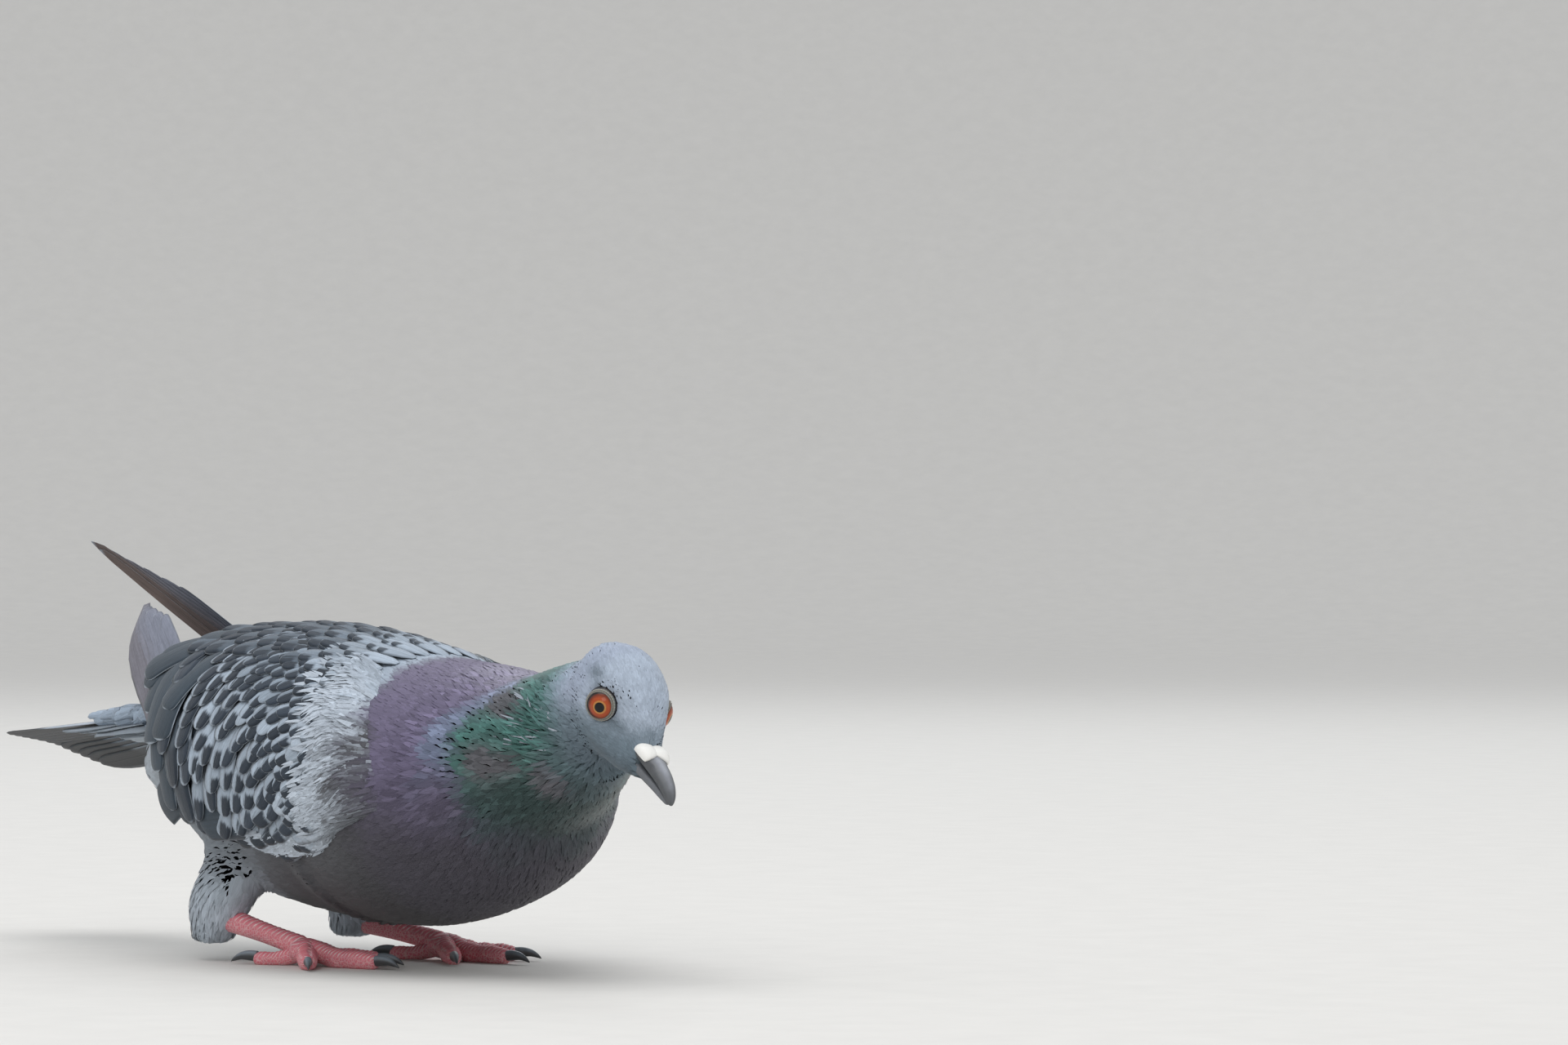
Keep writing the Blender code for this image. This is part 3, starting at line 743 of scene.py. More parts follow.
def plumage(name, fine, depth, barbs=0.0, sheen=0.12):
    """Feather finish: fine hairs along each blade, slanting barbs, a shaft, a fringe and dark marks.

    Attribute vane holds across (-1 to 1, + is the lower side), along (0 to 1) and a random number. Attribute
    marks holds the strength of the dark mark, the width of the fringe and the gloss. Attribute size holds the
    blade's length and half width in millimetres, and 1 on its underside.
    """
    kit = Recipe(name, roughness=0.62, sheen_weight=sheen, sheen_roughness=0.4, specular_ior_level=0.3)
    across, along, own = kit.parts(kit.attribute("vane", "Vector"))
    mark, fringe, shine = kit.parts(kit.attribute("marks", "Vector"))
    length, width, under = kit.parts(kit.attribute("size", "Vector"))
    own_place = own * 91.7
    aside, run = across * width, along * length
    hairs = kit.noise(kit.vector(aside * fine, run * 0.14, own_place), 1.0, 3.0, 0.7)
    clumps = kit.noise(kit.vector(aside * fine * 0.3, run * 0.09, own_place), 1.0, 2.0, 0.6)
    barb = kit.noise(kit.vector(run * 1.6 - abs(aside) * 1.1, aside * 0.3, own_place), 1.0, 2.0, 0.6)
    ragged = (hairs - 0.5) * 1.1 + (clumps - 0.5) * 1.3
    spread = mark - 1
    lower = (across + ragged * 0.8 + spread * 0.7).between(-0.30, 0.0)
    outer = (along + ragged * 0.16 + spread * 0.3).between(0.58, 0.68)
    blotch = lower * outer * mark.between(0.0, 0.7)
    tint = kit.mix(kit.attribute("tint"), kit.attribute("dark"), blotch)
    rim = abs(across).between(1 - fringe * 0.8, 1.0) * along.between(0.30, 0.55)
    tip = along.between(1 - fringe * 0.30, 1.0)
    edge = kit.node("ShaderNodeMath", {"operation": "MAXIMUM"}, {0: rim, 1: tip}) * fringe.between(0.0, 0.04)
    tint = kit.mix(tint, kit.attribute("fringe"), edge * (0.55 + hairs * 0.5))
    quill = (1 - abs(aside).between(0.10, 0.26)) * fringe.between(0.0, 0.04)
    # Brightness: random hairs, clumps and barbs, a darker shaft, and painted shade on each blade's underside.
    light = 0.40 + hairs * 0.86 + clumps * 0.36 + (barb - 0.5) * barbs - quill * 0.16 - under * 0.2
    height = hairs * 0.7 + clumps * 0.4 + barb * barbs + quill * 0.4
    gloss = 0.66 - shine * 0.26 + hairs * 0.12
    return kit.done(kit.lit(tint, light), gloss, height, depth, 0.0003, shine * 0.5)


def skin_finish():
    kit = Recipe("skin", roughness=0.8)
    place = kit.place()
    grain = kit.noise(place, 900.0, 4.0, 0.6)
    patches = kit.noise(place, 120.0, 2.0, 0.5)
    colour = kit.lit(kit.attribute("tint"), 0.45 + grain * 0.4 + patches * 0.3)
    return kit.done(colour, 0.75 + grain * 0.15, grain, 0.5, 0.0003)


def scales_finish(colours):
    """Leg skin: cross scales with worn pale edges on the front, small round scales behind."""
    soft = {"subsurface_weight": 0.12, "subsurface_scale": 0.002}
    kit = Recipe("leg_scales", roughness=0.55, **soft, specular_ior_level=0.4)
    along, front, own = kit.parts(kit.attribute("vane", "Vector"))
    place = kit.place()
    wobble = kit.noise(place, 420.0, 3.0, 0.6)
    ring = kit.node("ShaderNodeMath", {"operation": "FRACT"}, {0: along + (wobble - 0.5) * 0.7 + own * 5.0})
    edge = abs(ring - 0.5).between(0.27, 0.5)
    values = {"Vector": place, "Scale": 1150.0}
    small = kit.node("ShaderNodeTexVoronoi", {"feature": "DISTANCE_TO_EDGE"}, values)
    grout = 1 - small.between(0.02, 0.16)
    top = front.between(0.1, 0.65)
    worn = kit.noise(place, 160.0, 2.0, 0.5).between(0.32, 0.62)
    pale = edge * top * (0.35 + worn * 0.6) + grout * (1 - top) * 0.45
    colour = kit.mix(colours.scale, colours.scale_edge, pale)
    dusk = kit.noise(place, 90.0, 2.0, 0.5)
    colour = kit.lit(colour, 0.72 + dusk * 0.45)
    height = (1 - edge) * top + (1 - grout) * (1 - top) + wobble * 0.3
    return kit.done(colour, 0.5 + pale * 0.25, height, 0.6, 0.0003)


def horn_finish(name, dark, pale, sheen):
    """Horn: fine growth lines, a painted highlight atop upper bill and claws, pale lower bill sides, dull wear.
    """
    kit = Recipe(name, roughness=0.4, specular_ior_level=0.5, coat_weight=sheen, coat_roughness=0.3)
    along, highlight_and_pale, own = kit.parts(kit.attribute("vane", "Vector"))
    place = kit.place()
    grain = kit.noise(place, 700.0, 4.0, 0.6)
    lines = kit.noise(kit.vector(along * 5.0, highlight_and_pale * 2.0, own), 6.0, 3.0, 0.6)
    # Mixed towards pale: a painted highlight atop the upper bill and the claws, paler sides on the lower bill.
    colour = kit.mix(dark, pale, highlight_and_pale * (0.55 + lines * 0.6))
    colour = kit.lit(colour, 0.7 + grain * 0.5)
    return kit.done(colour, 0.34 + grain * 0.25, lines * 0.5 + grain * 0.5, 0.25, 0.0002)


def chalk_finish():
    kit = Recipe("cere_skin", roughness=0.85, subsurface_weight=0.15, subsurface_scale=0.001)
    place = kit.place()
    powder = kit.noise(place, 1600.0, 4.0, 0.7)
    folds = kit.noise(place, 420.0, 2.0, 0.5)
    deep = kit.attribute("tint")
    colour = kit.lit(deep, 0.82 + powder * 0.22 + folds * 0.08)
    return kit.done(colour, 0.75 + powder * 0.2, powder * 0.4 + folds, 0.35, 0.0003)


def eye_finish(colours):
    """Eye: black pupil, pale inner ring, orange iris with fine spokes and a dark rim, under a wet coat."""
    wet = {"coat_weight": 0.55, "coat_roughness": 0.03, "coat_ior": 1.35}
    kit = Recipe("eye", roughness=0.3, specular_ior_level=0.2, **wet)
    radius, turn, _ = kit.parts(kit.attribute("vane", "Vector"))
    spokes = kit.noise(kit.vector(turn * 14.0, radius * 0.9, 0.0), 3.0, 3.0, 0.65)
    bed = kit.noise(kit.place(), 2400.0, 3.0, 0.6)
    rust = paint(104, 42, 22)
    gold = paint(188, 132, 70)
    iris = kit.mix(colours.iris, rust, radius.between(2.2, 3.25))
    iris = kit.mix(gold, iris, radius.between(1.5, 1.95))
    iris = kit.lit(iris, 0.55 + spokes * 0.55 + bed * 0.3)
    colour = kit.mix(paint(6, 6, 8), iris, radius.between(1.24, 1.42))
    colour = kit.mix(colour, paint(24, 16, 14), radius.between(3.18, 3.42))
    return kit.done(colour, 0.3)


# ---------------------------------------------------------------- feathers


# Stations along a blade and its half width at each, for hair-like tufts, rounded vanes and long quills.
TUFT = [(0.02, 0.6), (0.46, 1.0), (0.82, 0.50)]
VANE = [(0.0, 0.35), (0.22, 0.75), (0.45, 0.97), (0.65, 1.0), (0.8, 0.93), (0.9, 0.75), (0.965, 0.45)]
QUILL_STATIONS = 18


def quill_profile():
    """Long feather: quickly wide, nearly even, then a rounded end."""
    along = 1 - (1 - np.linspace(0, 0.995, QUILL_STATIONS)) ** 1.35
    end = ((along - 0.86) / 0.14).clip(0, 1)
    half = np.minimum(1, 0.5 + along * 2.2) * np.sqrt(np.clip(1 - end**2, 0, 1))
    return stacked(along, np.maximum(half, 0.12))


def blade_faces(stations, across):
    """Faces of one closed blade: a point at the root, rings, a point at the tip."""
    ring = 2 * across - 2
    quads = grid_faces(stations, ring, True)[:, ::-1] + 1
    corner = np.arange(ring)
    after = (corner + 1) % ring
    last = 1 + stations * ring
    root = stacked(np.zeros(ring, int), corner + 1, after + 1)
    start = 1 + (stations - 1) * ring
    tip = stacked(np.full(ring, last), start + after, start + corner)
    return quads, np.concatenate([root, tip]), last + 1


def blade_points(top, bottom, root, tip):
    """Vertices of closed blades from their upper and lower grids. The two grids share their edges."""
    low = bottom[:, :, -2:0:-1]
    rings = np.concatenate([top, low], axis=2)
    count = len(rings)
    return np.concatenate([root[:, None], rings.reshape(count, -1, *rings.shape[3:]), tip[:, None]], axis=1)


def vane_grid(stations, across):
    """Vane coordinates of one blade's vertices: across, along, and 1 on the underside."""
    side_share = np.linspace(-1, 1, across)
    top = spread(side_share[None, :], stations[:, None], 0.0)[None]
    ends = [np.array([[0.0, 0.0, 0.0]]), np.array([[0.0, 1.0, 0.0]])]
    return blade_points(top, top + (0, 0, 1), *ends)[0]


def lay_blades(form, roots, ahead, lengths, widths, profile, across, shape):
    """Blades laid along a form: (points, vane coordinates), one row for each blade.

    A point is along the blade by its share of the length and across it by its share of the half width, then
    moves to its height above the form. shape holds root height, tip height, bow across, thickness, swerve
    and tilt, each one number or one for each blade.
    """
    profile = np.asarray(profile, float)
    count, stations = len(roots), len(profile)
    side_share = np.linspace(-1, 1, across)
    along = np.broadcast_to(profile[:, :1], (stations, across))
    half = profile[:, 1:] * side_share[None, :]
    normal = form.normal(roots)
    ahead = unit(ahead - normal * (ahead * normal).sum(axis=-1, keepdims=True))
    side = np.cross(normal, ahead)

    def one_each(name, default=0.0):
        return np.broadcast_to(np.asarray(shape.get(name, default), float), (count,))[:, None, None]

    def spot(share, offset):
        """Points and heights for shares of the length and offsets across."""
        reach = share * lengths[:, None, None]
        drift = offset * widths[:, None, None] + one_each("swerve") * share**2 * lengths[:, None, None]
        base = roots[:, None, None] + ahead[:, None, None] * reach[..., None]
        base = base + side[:, None, None] * drift[..., None]
        climb = 1 - np.clip(1 - share, 0, 1) ** one_each("power", 1.0)
        height = one_each("root") + (one_each("tip") - one_each("root")) * climb
        height = height + one_each("tilt") * offset * widths[:, None, None]
        return base, height

    base, height = spot(along[None], half[None])
    crown = one_each("bow") * (1 - side_share**2)[None, None, :] * np.minimum(1, profile[:, 1])[None, :, None]
    top = form.settle(base, height + crown)
    thick = one_each("thickness", 0.12) * (1 - side_share**2)[None, None, :]
    bottom = top - form.normal(top) * thick[..., None]
    tip_share = np.ones((1, 1, 1))
    tip_base, tip_height = spot(tip_share, tip_share * 0)
    tip = form.settle(tip_base, tip_height)[:, 0, 0]
    back_base, back_height = spot(tip_share * -0.02, tip_share * 0)
    root = form.settle(back_base, back_height)[:, 0, 0]
    points = blade_points(top, bottom, root, tip)
    return points, vane_grid(profile[:, 0], across)


def upper_sides(points):
    """The way the upper side of each three-point blade faces at each of its cross rows."""
    rings = points[:, 1:-1].reshape(len(points), -1, 4, 3)
    middle = np.concatenate([rings[:, :, 1], points[:, -1:]], axis=1)
    return unit(np.cross(np.diff(middle, axis=1), rings[:, :, 2] - rings[:, :, 0]))


def lies_flat(form, points):
    """True for blades that follow the form all along, so that none is folded over."""
    rings = points[:, 1:-1].reshape(len(points), -1, 4, 3)
    return ((upper_sides(points) * form.normal(rings[:, :, 1])).sum(axis=-1) > 0.45).all(axis=-1)


def soften(made, form, points, share):
    """Turns the shading of a coat towards the form, so that it reads as one soft surface.

    A blade that stands at an angle to the form keeps its own shading.
    """
    own = upper_sides(points)
    own = np.concatenate([own[:, :1], np.repeat(own, 4, axis=1), own[:, -1:]], axis=1).reshape(-1, 3)
    way = form.normal(points.reshape(-1, 3))
    share = share * rise(0.6, 0.92, (own * way).sum(axis=-1, keepdims=True))
    made.data.normals_split_custom_set_from_vertices(unit(own * (1 - share) + way * share))


def blades_piece(name, points, vane, across, stations, looks, places, patch, flip=1):
    """Mesh of many blades with the attributes that the plumage finish reads.

    looks holds tint, dark, fringe, marks, length and width, one row for each blade. places are the blades'
    places on the unwrapped skin, and patch is the size of each blade's patch there. flip is -1 where across
    runs upwards.
    """
    quads, fans, size = blade_faces(stations, across)
    count = len(points)
    start = (np.arange(count) * size)[:, None, None]
    faces = [(quads[None] + start).reshape(-1, 4), (fans[None] + start).reshape(-1, 3)]
    made = make_mesh(name, points, faces)
    rng = np.random.default_rng(len(name) * 131 + count)

    def spread_out(values):
        values = np.asarray(values, float).reshape(count, -1)
        return np.repeat(values[:, None], size, axis=1).reshape(count * size, -1)

    table = np.tile(vane, (count, 1))
    own = spread_out(rng.random(count))
    set_attribute(made, "vane", np.column_stack([table[:, 0] * flip, table[:, 1], own]))
    for layer in ("tint", "dark", "fringe"):
        set_attribute(made, layer, spread_out(looks[layer]).clip(0, 1))
    set_attribute(made, "marks", spread_out(looks["marks"]))
    sizes = [spread_out(looks["length"]), spread_out(looks["width"]), table[:, 2:]]
    set_attribute(made, "size", np.concatenate(sizes, axis=-1))
    shape = stacked(table[:, 0] * 0.5, table[:, 1] - 0.5) * patch
    set_bake_map(made, spread_out(places) * (1 - 2 * patch) + patch + shape)
    return made


def plain_looks(tint, fringe, marks, length, width):
    """The looks of blades with no dark mark of their own."""
    return {"tint": tint, "dark": tint, "fringe": fringe, "marks": marks, "length": length, "width": width}


def body_unwrap(points):
    """Places on the skin unrolled round the bird: turn round its middle line, and length along it."""
    x = points[..., 0]
    middle = np.where(x < 92, 48 + 0 * x, 48 + (x - 92) * 0.62)
    turn = np.arctan2(points[..., 1], points[..., 2] - middle) / (2 * math.pi) + 0.5
    return stacked(turn, (x + 112) / 262)


def head_unwrap(points):
    local = to_head(points)
    turn = np.arctan2(local[..., 1], local[..., 2] + 1) / (2 * math.pi) + 0.5
    return stacked(turn, (local[..., 0] + 30) / 46)


def near_pairs(points, reach):
    """Index pairs of points closer than the smaller of their two reaches."""
    cell = np.floor(points / reach.max()).astype(np.int64)
    cell -= cell.min(axis=0) - 1
    stride = cell.max(axis=0) + 2
    key = (cell[:, 0] * stride[1] + cell[:, 1]) * stride[2] + cell[:, 2]
    order = np.argsort(key, kind="stable")
    keys, starts, counts = np.unique(key[order], return_index=True, return_counts=True)
    firsts, seconds = [], []
    for offset in np.ndindex(3, 3, 3):
        step = ((offset[0] - 1) * stride[1] + offset[1] - 1) * stride[2] + offset[2] - 1
        if step < 0:
            continue
        spot = np.searchsorted(keys, key + step).clip(0, len(keys) - 1)
        count = np.where(keys[spot] == key + step, counts[spot], 0)
        first = np.repeat(np.arange(len(points)), count)
        within = np.arange(len(first)) - np.repeat(np.cumsum(count) - count, count)
        second = order[np.repeat(starts[spot], count) + within]
        keep = first < second if step == 0 else np.ones(len(first), bool)
        first, second = first[keep], second[keep]
        gap = np.linalg.norm(points[first] - points[second], axis=-1)
        close = gap < np.minimum(reach[first], reach[second])
        firsts.append(first[close])
        seconds.append(second[close])
    return np.concatenate(firsts), np.concatenate(seconds)


def scatter(triangles, gap, rng):
    """Places spread evenly over triangles, each at least its own gap from the others.

    Many places are drawn at random with a random rank. In each round every place that outranks its close
    neighbours stays, and those neighbours go.
    """
    edges = np.cross(triangles[:, 1] - triangles[:, 0], triangles[:, 2] - triangles[:, 0])
    area = np.linalg.norm(edges, axis=-1) / 2
    wanted = area / gap(triangles.mean(axis=1)) ** 2 * 4.5
    chosen = rng.choice(len(triangles), int(wanted.sum()), p=wanted / wanted.sum())
    first, second = rng.random((2, len(chosen)))
    flip = first + second > 1
    first, second = np.where(flip, 1 - first, first), np.where(flip, 1 - second, second)
    corner = triangles[chosen]
    points = corner[:, 0] + (corner[:, 1] - corner[:, 0]) * first[:, None]
    points = points + (corner[:, 2] - corner[:, 0]) * second[:, None]
    left, right = near_pairs(points, gap(points))
    rank = rng.permutation(len(points))
    open_, kept = np.ones(len(points), bool), np.zeros(len(points), bool)
    while open_.any():
        live = open_[left] & open_[right]
        left, right = left[live], right[live]
        best = np.full(len(points), len(points))
        np.minimum.at(best, left, rank[right])
        np.minimum.at(best, right, rank[left])
        winners = open_ & (rank < best)
        kept |= winners
        open_ &= ~winners
        open_[right[winners[left]]] = False
        open_[left[winners[right]]] = False
    return points[kept]


# ---------------------------------------------------------------- the lie and the colours of the coat


def head_share(points):
    """1 on the head, falling to 0 down the neck."""
    middle = HEAD_AXES @ np.array([-2, 0, 0])
    return 1 - rise(15.5, 25, np.linalg.norm(points - HEAD_CENTRE - middle, axis=-1))


def face_share(points):
    """1 at the root of the bill, falling to 0 at the crown and cheek."""
    return 1 - rise(4, 17, np.linalg.norm(to_head(points) - np.array([13.5, 0, -5.5]), axis=-1))


def thigh_share(points):
    """1 on the drumsticks below the flank."""
    share = 0
    for name, side in SIDES.items():
        x, y, z, *_ = LEGS[name]["thigh"][2]
        near = 1 - rise(12, 22, np.hypot(points[..., 0] - x - 4, points[..., 1] - y))
        share = np.maximum(share, near * (1 - rise(20, 31, points[..., 2])))
    return share


def mixed(first, second, share):
    return first + (np.asarray(second) - first) * share[..., None]


def coat_colour(points, colours):
    """Plumage colour at each place of the body by the bird's own regions, plus painted shade below the head and
    behind the eye.
    """
    local = to_head(points)
    wander, patchy = waves(points, 18, 3), waves(points, 6, 4)
    back = points[..., 0] + wander * 2.4 + patchy * 1.2
    high = points[..., 2] + wander * 2.0 + patchy
    base = np.empty_like(points)
    base[:] = colours.breast
    base = mixed(base, colours.flank, (1 - rise(34, 66, back)) * rise(10, 46, high))
    base = mixed(base, colours.thigh * 0.82, (1 - rise(-14, 16, back)) * rise(12, 34, high) * 0.8)
    base = mixed(base, colours.covert, (1 - rise(40, 56, back)) * rise(62, 72, high))
    base = mixed(base, colours.thigh, 1 - rise(-66, -44, back))
    start = 55 - 9 * rise(58, 76, high)
    violet = rise(-6, 8, back - start) * (0.15 + 0.85 * rise(30, 60, high))
    base = mixed(base, colours.violet, violet * (1 - 0.8 * rise(84, 96, back) * (1 - rise(64, 74, high))))
    edge = 84 + 12 * rise(63, 75, high)
    green = rise(-5, 4, back - edge) * rise(26, 50, high)
    blue = rise(-12, -6, back - edge) * (1 - rise(-4, 2, back - edge)) * rise(46, 58, high)
    base = mixed(base, colours.crown * (0.55, 0.62, 0.72), blue * 0.6)
    base = mixed(base, colours.deep_green, green * 0.9)
    base = mixed(base, colours.green, green * rise(48, 60, high) * (0.75 + 0.25 * patchy))
    for centre, radius in (
        ((92.0, -24, 56), (4.6, 10, 4.0)),
        ((98.5, -21, 56), (2.4, 8, 2.6)),
        ((107, -15.5, 52), (3.0, 8, 5.0)),
        ((94.5, -18, 70), (4.6, 8, 2.8)),
        ((95, 20, 60), (5.0, 10, 4.5)),
        ((104, 15, 54), (3.0, 8, 5.0)),
    ):
        base = mixed(base, colours.bronze, np.clip(1.7 * blob(points, centre, radius), 0, 0.92))
    # Painted shade on the throat under the head: a darker copy of the cheek colour.
    throat = rise(104, 116, back) * (1 - rise(58, 72, high))
    base = mixed(base, colours.cheek * 0.62, throat * rise(36, 50, high) * 0.75)
    tall = local[..., 2] - 0.28 * local[..., 0] + patchy * 0.7
    crown = np.broadcast_to(colours.crown, points.shape)
    head = mixed(crown, colours.nape, rise(3, 11, -local[..., 0]) * 0.7)
    head = mixed(head, colours.cheek, 1 - rise(-7.5, 1.5, tall))
    # Painted shade under the head: its lowest part takes a darker copy of the cheek colour.
    head = mixed(head, colours.cheek * 0.72, (1 - rise(-14, -7, tall)) * 0.8)
    # Painted shade above and behind the eye, joined with a darker line of the lores before the eye.
    lores = 0.7 * blob(local, (4.5, 0, -2.4), (3.4, 40, 1.1))
    dusk = np.maximum(blob(local, (-7.0, 0, 5.6), (3.2, 40, 1.7)), lores)
    head = mixed(head, colours.cheek * 0.72, np.clip(dusk * 0.85, 0, 1))
    base = mixed(base, head, head_share(points))
    base = mixed(base, colours.thigh, thigh_share(points))
    ankles = [leg["ankle"] for leg in LEGS.values()]
    white = sum(blob(points, (x + 2, y, 14), (8, 7, 5)) for x, y, _ in ankles)
    return mixed(base, colours.shoulder, np.clip(white * 1.2, 0, 0.9))


def coat_shine(points):
    """Gloss of the neck feathers."""
    x = points[..., 0]
    return rise(58, 72, x) * (1 - head_share(points)) * rise(28, 46, points[..., 2])


def coat_depth(points):
    """How far the skin lies under the feather tips."""
    return 1.7 - 0.9 * head_share(points) - 0.25 * face_share(points)


def coat_lie(points):
    """The way the feathers point: away from the bill on head and neck, then back, down on the thighs."""
    source = from_head(np.array([27.0, 0.0, -8.0]))
    away = unit(points - source)
    aft = np.array([-1.0, 0.0, -0.10])
    share = rise(25, 88, points[..., 0])
    lie = away * share[..., None] + aft * (1 - share)[..., None]
    low_front = rise(60, 86, points[..., 0]) * (1 - rise(40, 62, points[..., 2]))
    lie = lie + np.array([-0.2, 0, -0.5]) * low_front[..., None]
    lie = mixed(lie, np.array([-0.25, 0.0, -1.0]), thigh_share(points))
    for side in SIDES.values():
        out, high, outward = round_eye(points, side)
        inward = np.minimum(0, (unit(lie) * outward).sum(axis=-1))
        near = (1 - rise(4.3, 8.5, out)) * (high > 0)
        lie = lie - outward * (inward * near * 1.2)[..., None]
    return lie


def ruffle(points):
    """Where the feathers lie untidily: the fold between head and neck."""
    size = (8, 14, 11)
    return np.maximum(blob(points, (107, -14, 64), size), 0.7 * blob(points, (107, 12, 64), size))


def eye_clear(points, margin):
    """True where a place is outside both eye openings."""
    clear = np.ones(points.shape[:-1], bool)
    for side in SIDES.values():
        out, high, _ = round_eye(points, side)
        clear &= (out > margin) | (high < -0.5)
    return clear


def wing_shares(points):
    """Back and down shares of the wing for places on the body."""
    centre, width, height = columns(WINGS, points[..., 0])
    angle = np.degrees(np.arctan2(np.abs(points[..., 1]) / width, (points[..., 2] - centre) / height))
    down = (angle - 8) / 102
    front, rear = follow(WING_FRONT, down)[..., 0], follow(WING_REAR, down)[..., 0]
    return (front - points[..., 0]) / (front - rear), down


# ---------------------------------------------------------------- wing surface


def wing_places(side, back, down):
    """Points on a wing's outer surface, for shares of its length and height."""
    front, rear = follow(WING_FRONT, down)[..., 0], follow(WING_REAR, down)[..., 0]
    top, bottom = follow(WING_TOP, back)[..., 0], follow(WING_BOTTOM, back)[..., 0]
    x = front + back * (rear - front)
    angle = np.radians(top + down * (bottom - top))
    centre, width, height = columns(WINGS, x)
    return stacked(x, side * width * np.sin(angle), centre + height * np.cos(angle))


def wing_depth(back, down):
    """How far the wing's feathers dip below its outline towards the front and the lower edge."""
    front, top = 1 - rise(-0.02, 0.13, back), 1 - rise(-0.02, 0.08, down)
    return 3.2 * front + 2.6 * rise(0.86, 1.02, down) + 1.2 * top


# ---------------------------------------------------------------- operators


class PieceOperator:
    bl_options = {"REGISTER", "UNDO"}

    def execute(self, context):
        group = context.scene.pigeon_colours
        colours = SimpleNamespace(**{name: np.array(getattr(group, name)) for name in group.__annotations__})
        self.build(colours, context.scene.pigeon_sizes)
        return {"FINISHED"}


SKIN_TRIANGLES = {}


class PIGEON_OT_skin(PieceOperator, bpy.types.Operator):
    """Makes the one skin of trunk, neck, head and drumsticks, under the coat by the coat's depth"""

    bl_idname = "pigeon.skin"
    bl_label = "Skin"

    def build(self, colours, sizes):
        turn = circle(48)
        side, up = np.cos(turn), np.sin(turn)

        def upright(table, count):
            at = np.linspace(min(table)[0], max(table)[0], count)
            *middle, centre, width, height = (column[:, None] for column in columns(table, at))
            y = width * side + (middle[0] if middle else 0)
            return stacked(np.broadcast_to(at[:, None], y.shape), y, centre + height * up)

        parts = [tube_mesh(upright(TRUNK, 80)), tube_mesh(upright(NECK, 40))]
        parts += [tube_mesh(from_head(upright(table, count))) for table, count in ((HEAD, 40), (CHIN, 24))]
        for name in LEGS:
            rows = thigh_rows(name)
            at = np.linspace(min(rows)[0], max(rows)[0], 30)
            x, y, length, width = (column[:, None] for column in columns(rows, at))
            ring = [x + length * side, y + width * up, np.broadcast_to(at[:, None], (30, 48))]
            parts.append(tube_mesh(np.stack(ring, axis=-1)))
        points, faces = join_parts(parts)
        rough = face_outwards(make_mesh("skin_rough", points, faces))
        remesh = rough.modifiers.new("one_skin", "REMESH")
        remesh.mode, remesh.voxel_size = "VOXEL", 1.4 * MM
        graph = bpy.context.evaluated_depsgraph_get()
        mesh = bpy.data.meshes.new_from_object(rough.evaluated_get(graph))
        bpy.data.objects.remove(rough)
        points = np.empty(len(mesh.vertices) * 3, np.float32)
        mesh.vertices.foreach_get("co", points)
        points = points.reshape(-1, 3) / MM - SHIFT
        points = FLESH.settle(points, -coat_depth(points), 5)
        mesh.vertices.foreach_set("co", ((points + SHIFT) * MM).astype(np.float32).ravel())
        mesh.name = "skin"
        mesh.shade_smooth()
        made = place_object("skin", mesh)
        # The skin takes the coat's colour at 0.8: painted shade for the gaps between the feathers.
        set_attribute(made, "tint", coat_colour(points, colours) * 0.8)
        set_bake_map(made, body_unwrap(points))
        mesh.calc_loop_triangles()
        corners = np.empty(len(mesh.loop_triangles) * 3, np.int32)
        mesh.loop_triangles.foreach_get("vertices", corners)
        SKIN_TRIANGLES["all"] = points[corners.reshape(-1, 3)]
        nodes = ("trunk", "neck", "head", "thigh_right", "thigh_left")
        finish_piece(made, skin_finish(), nodes)


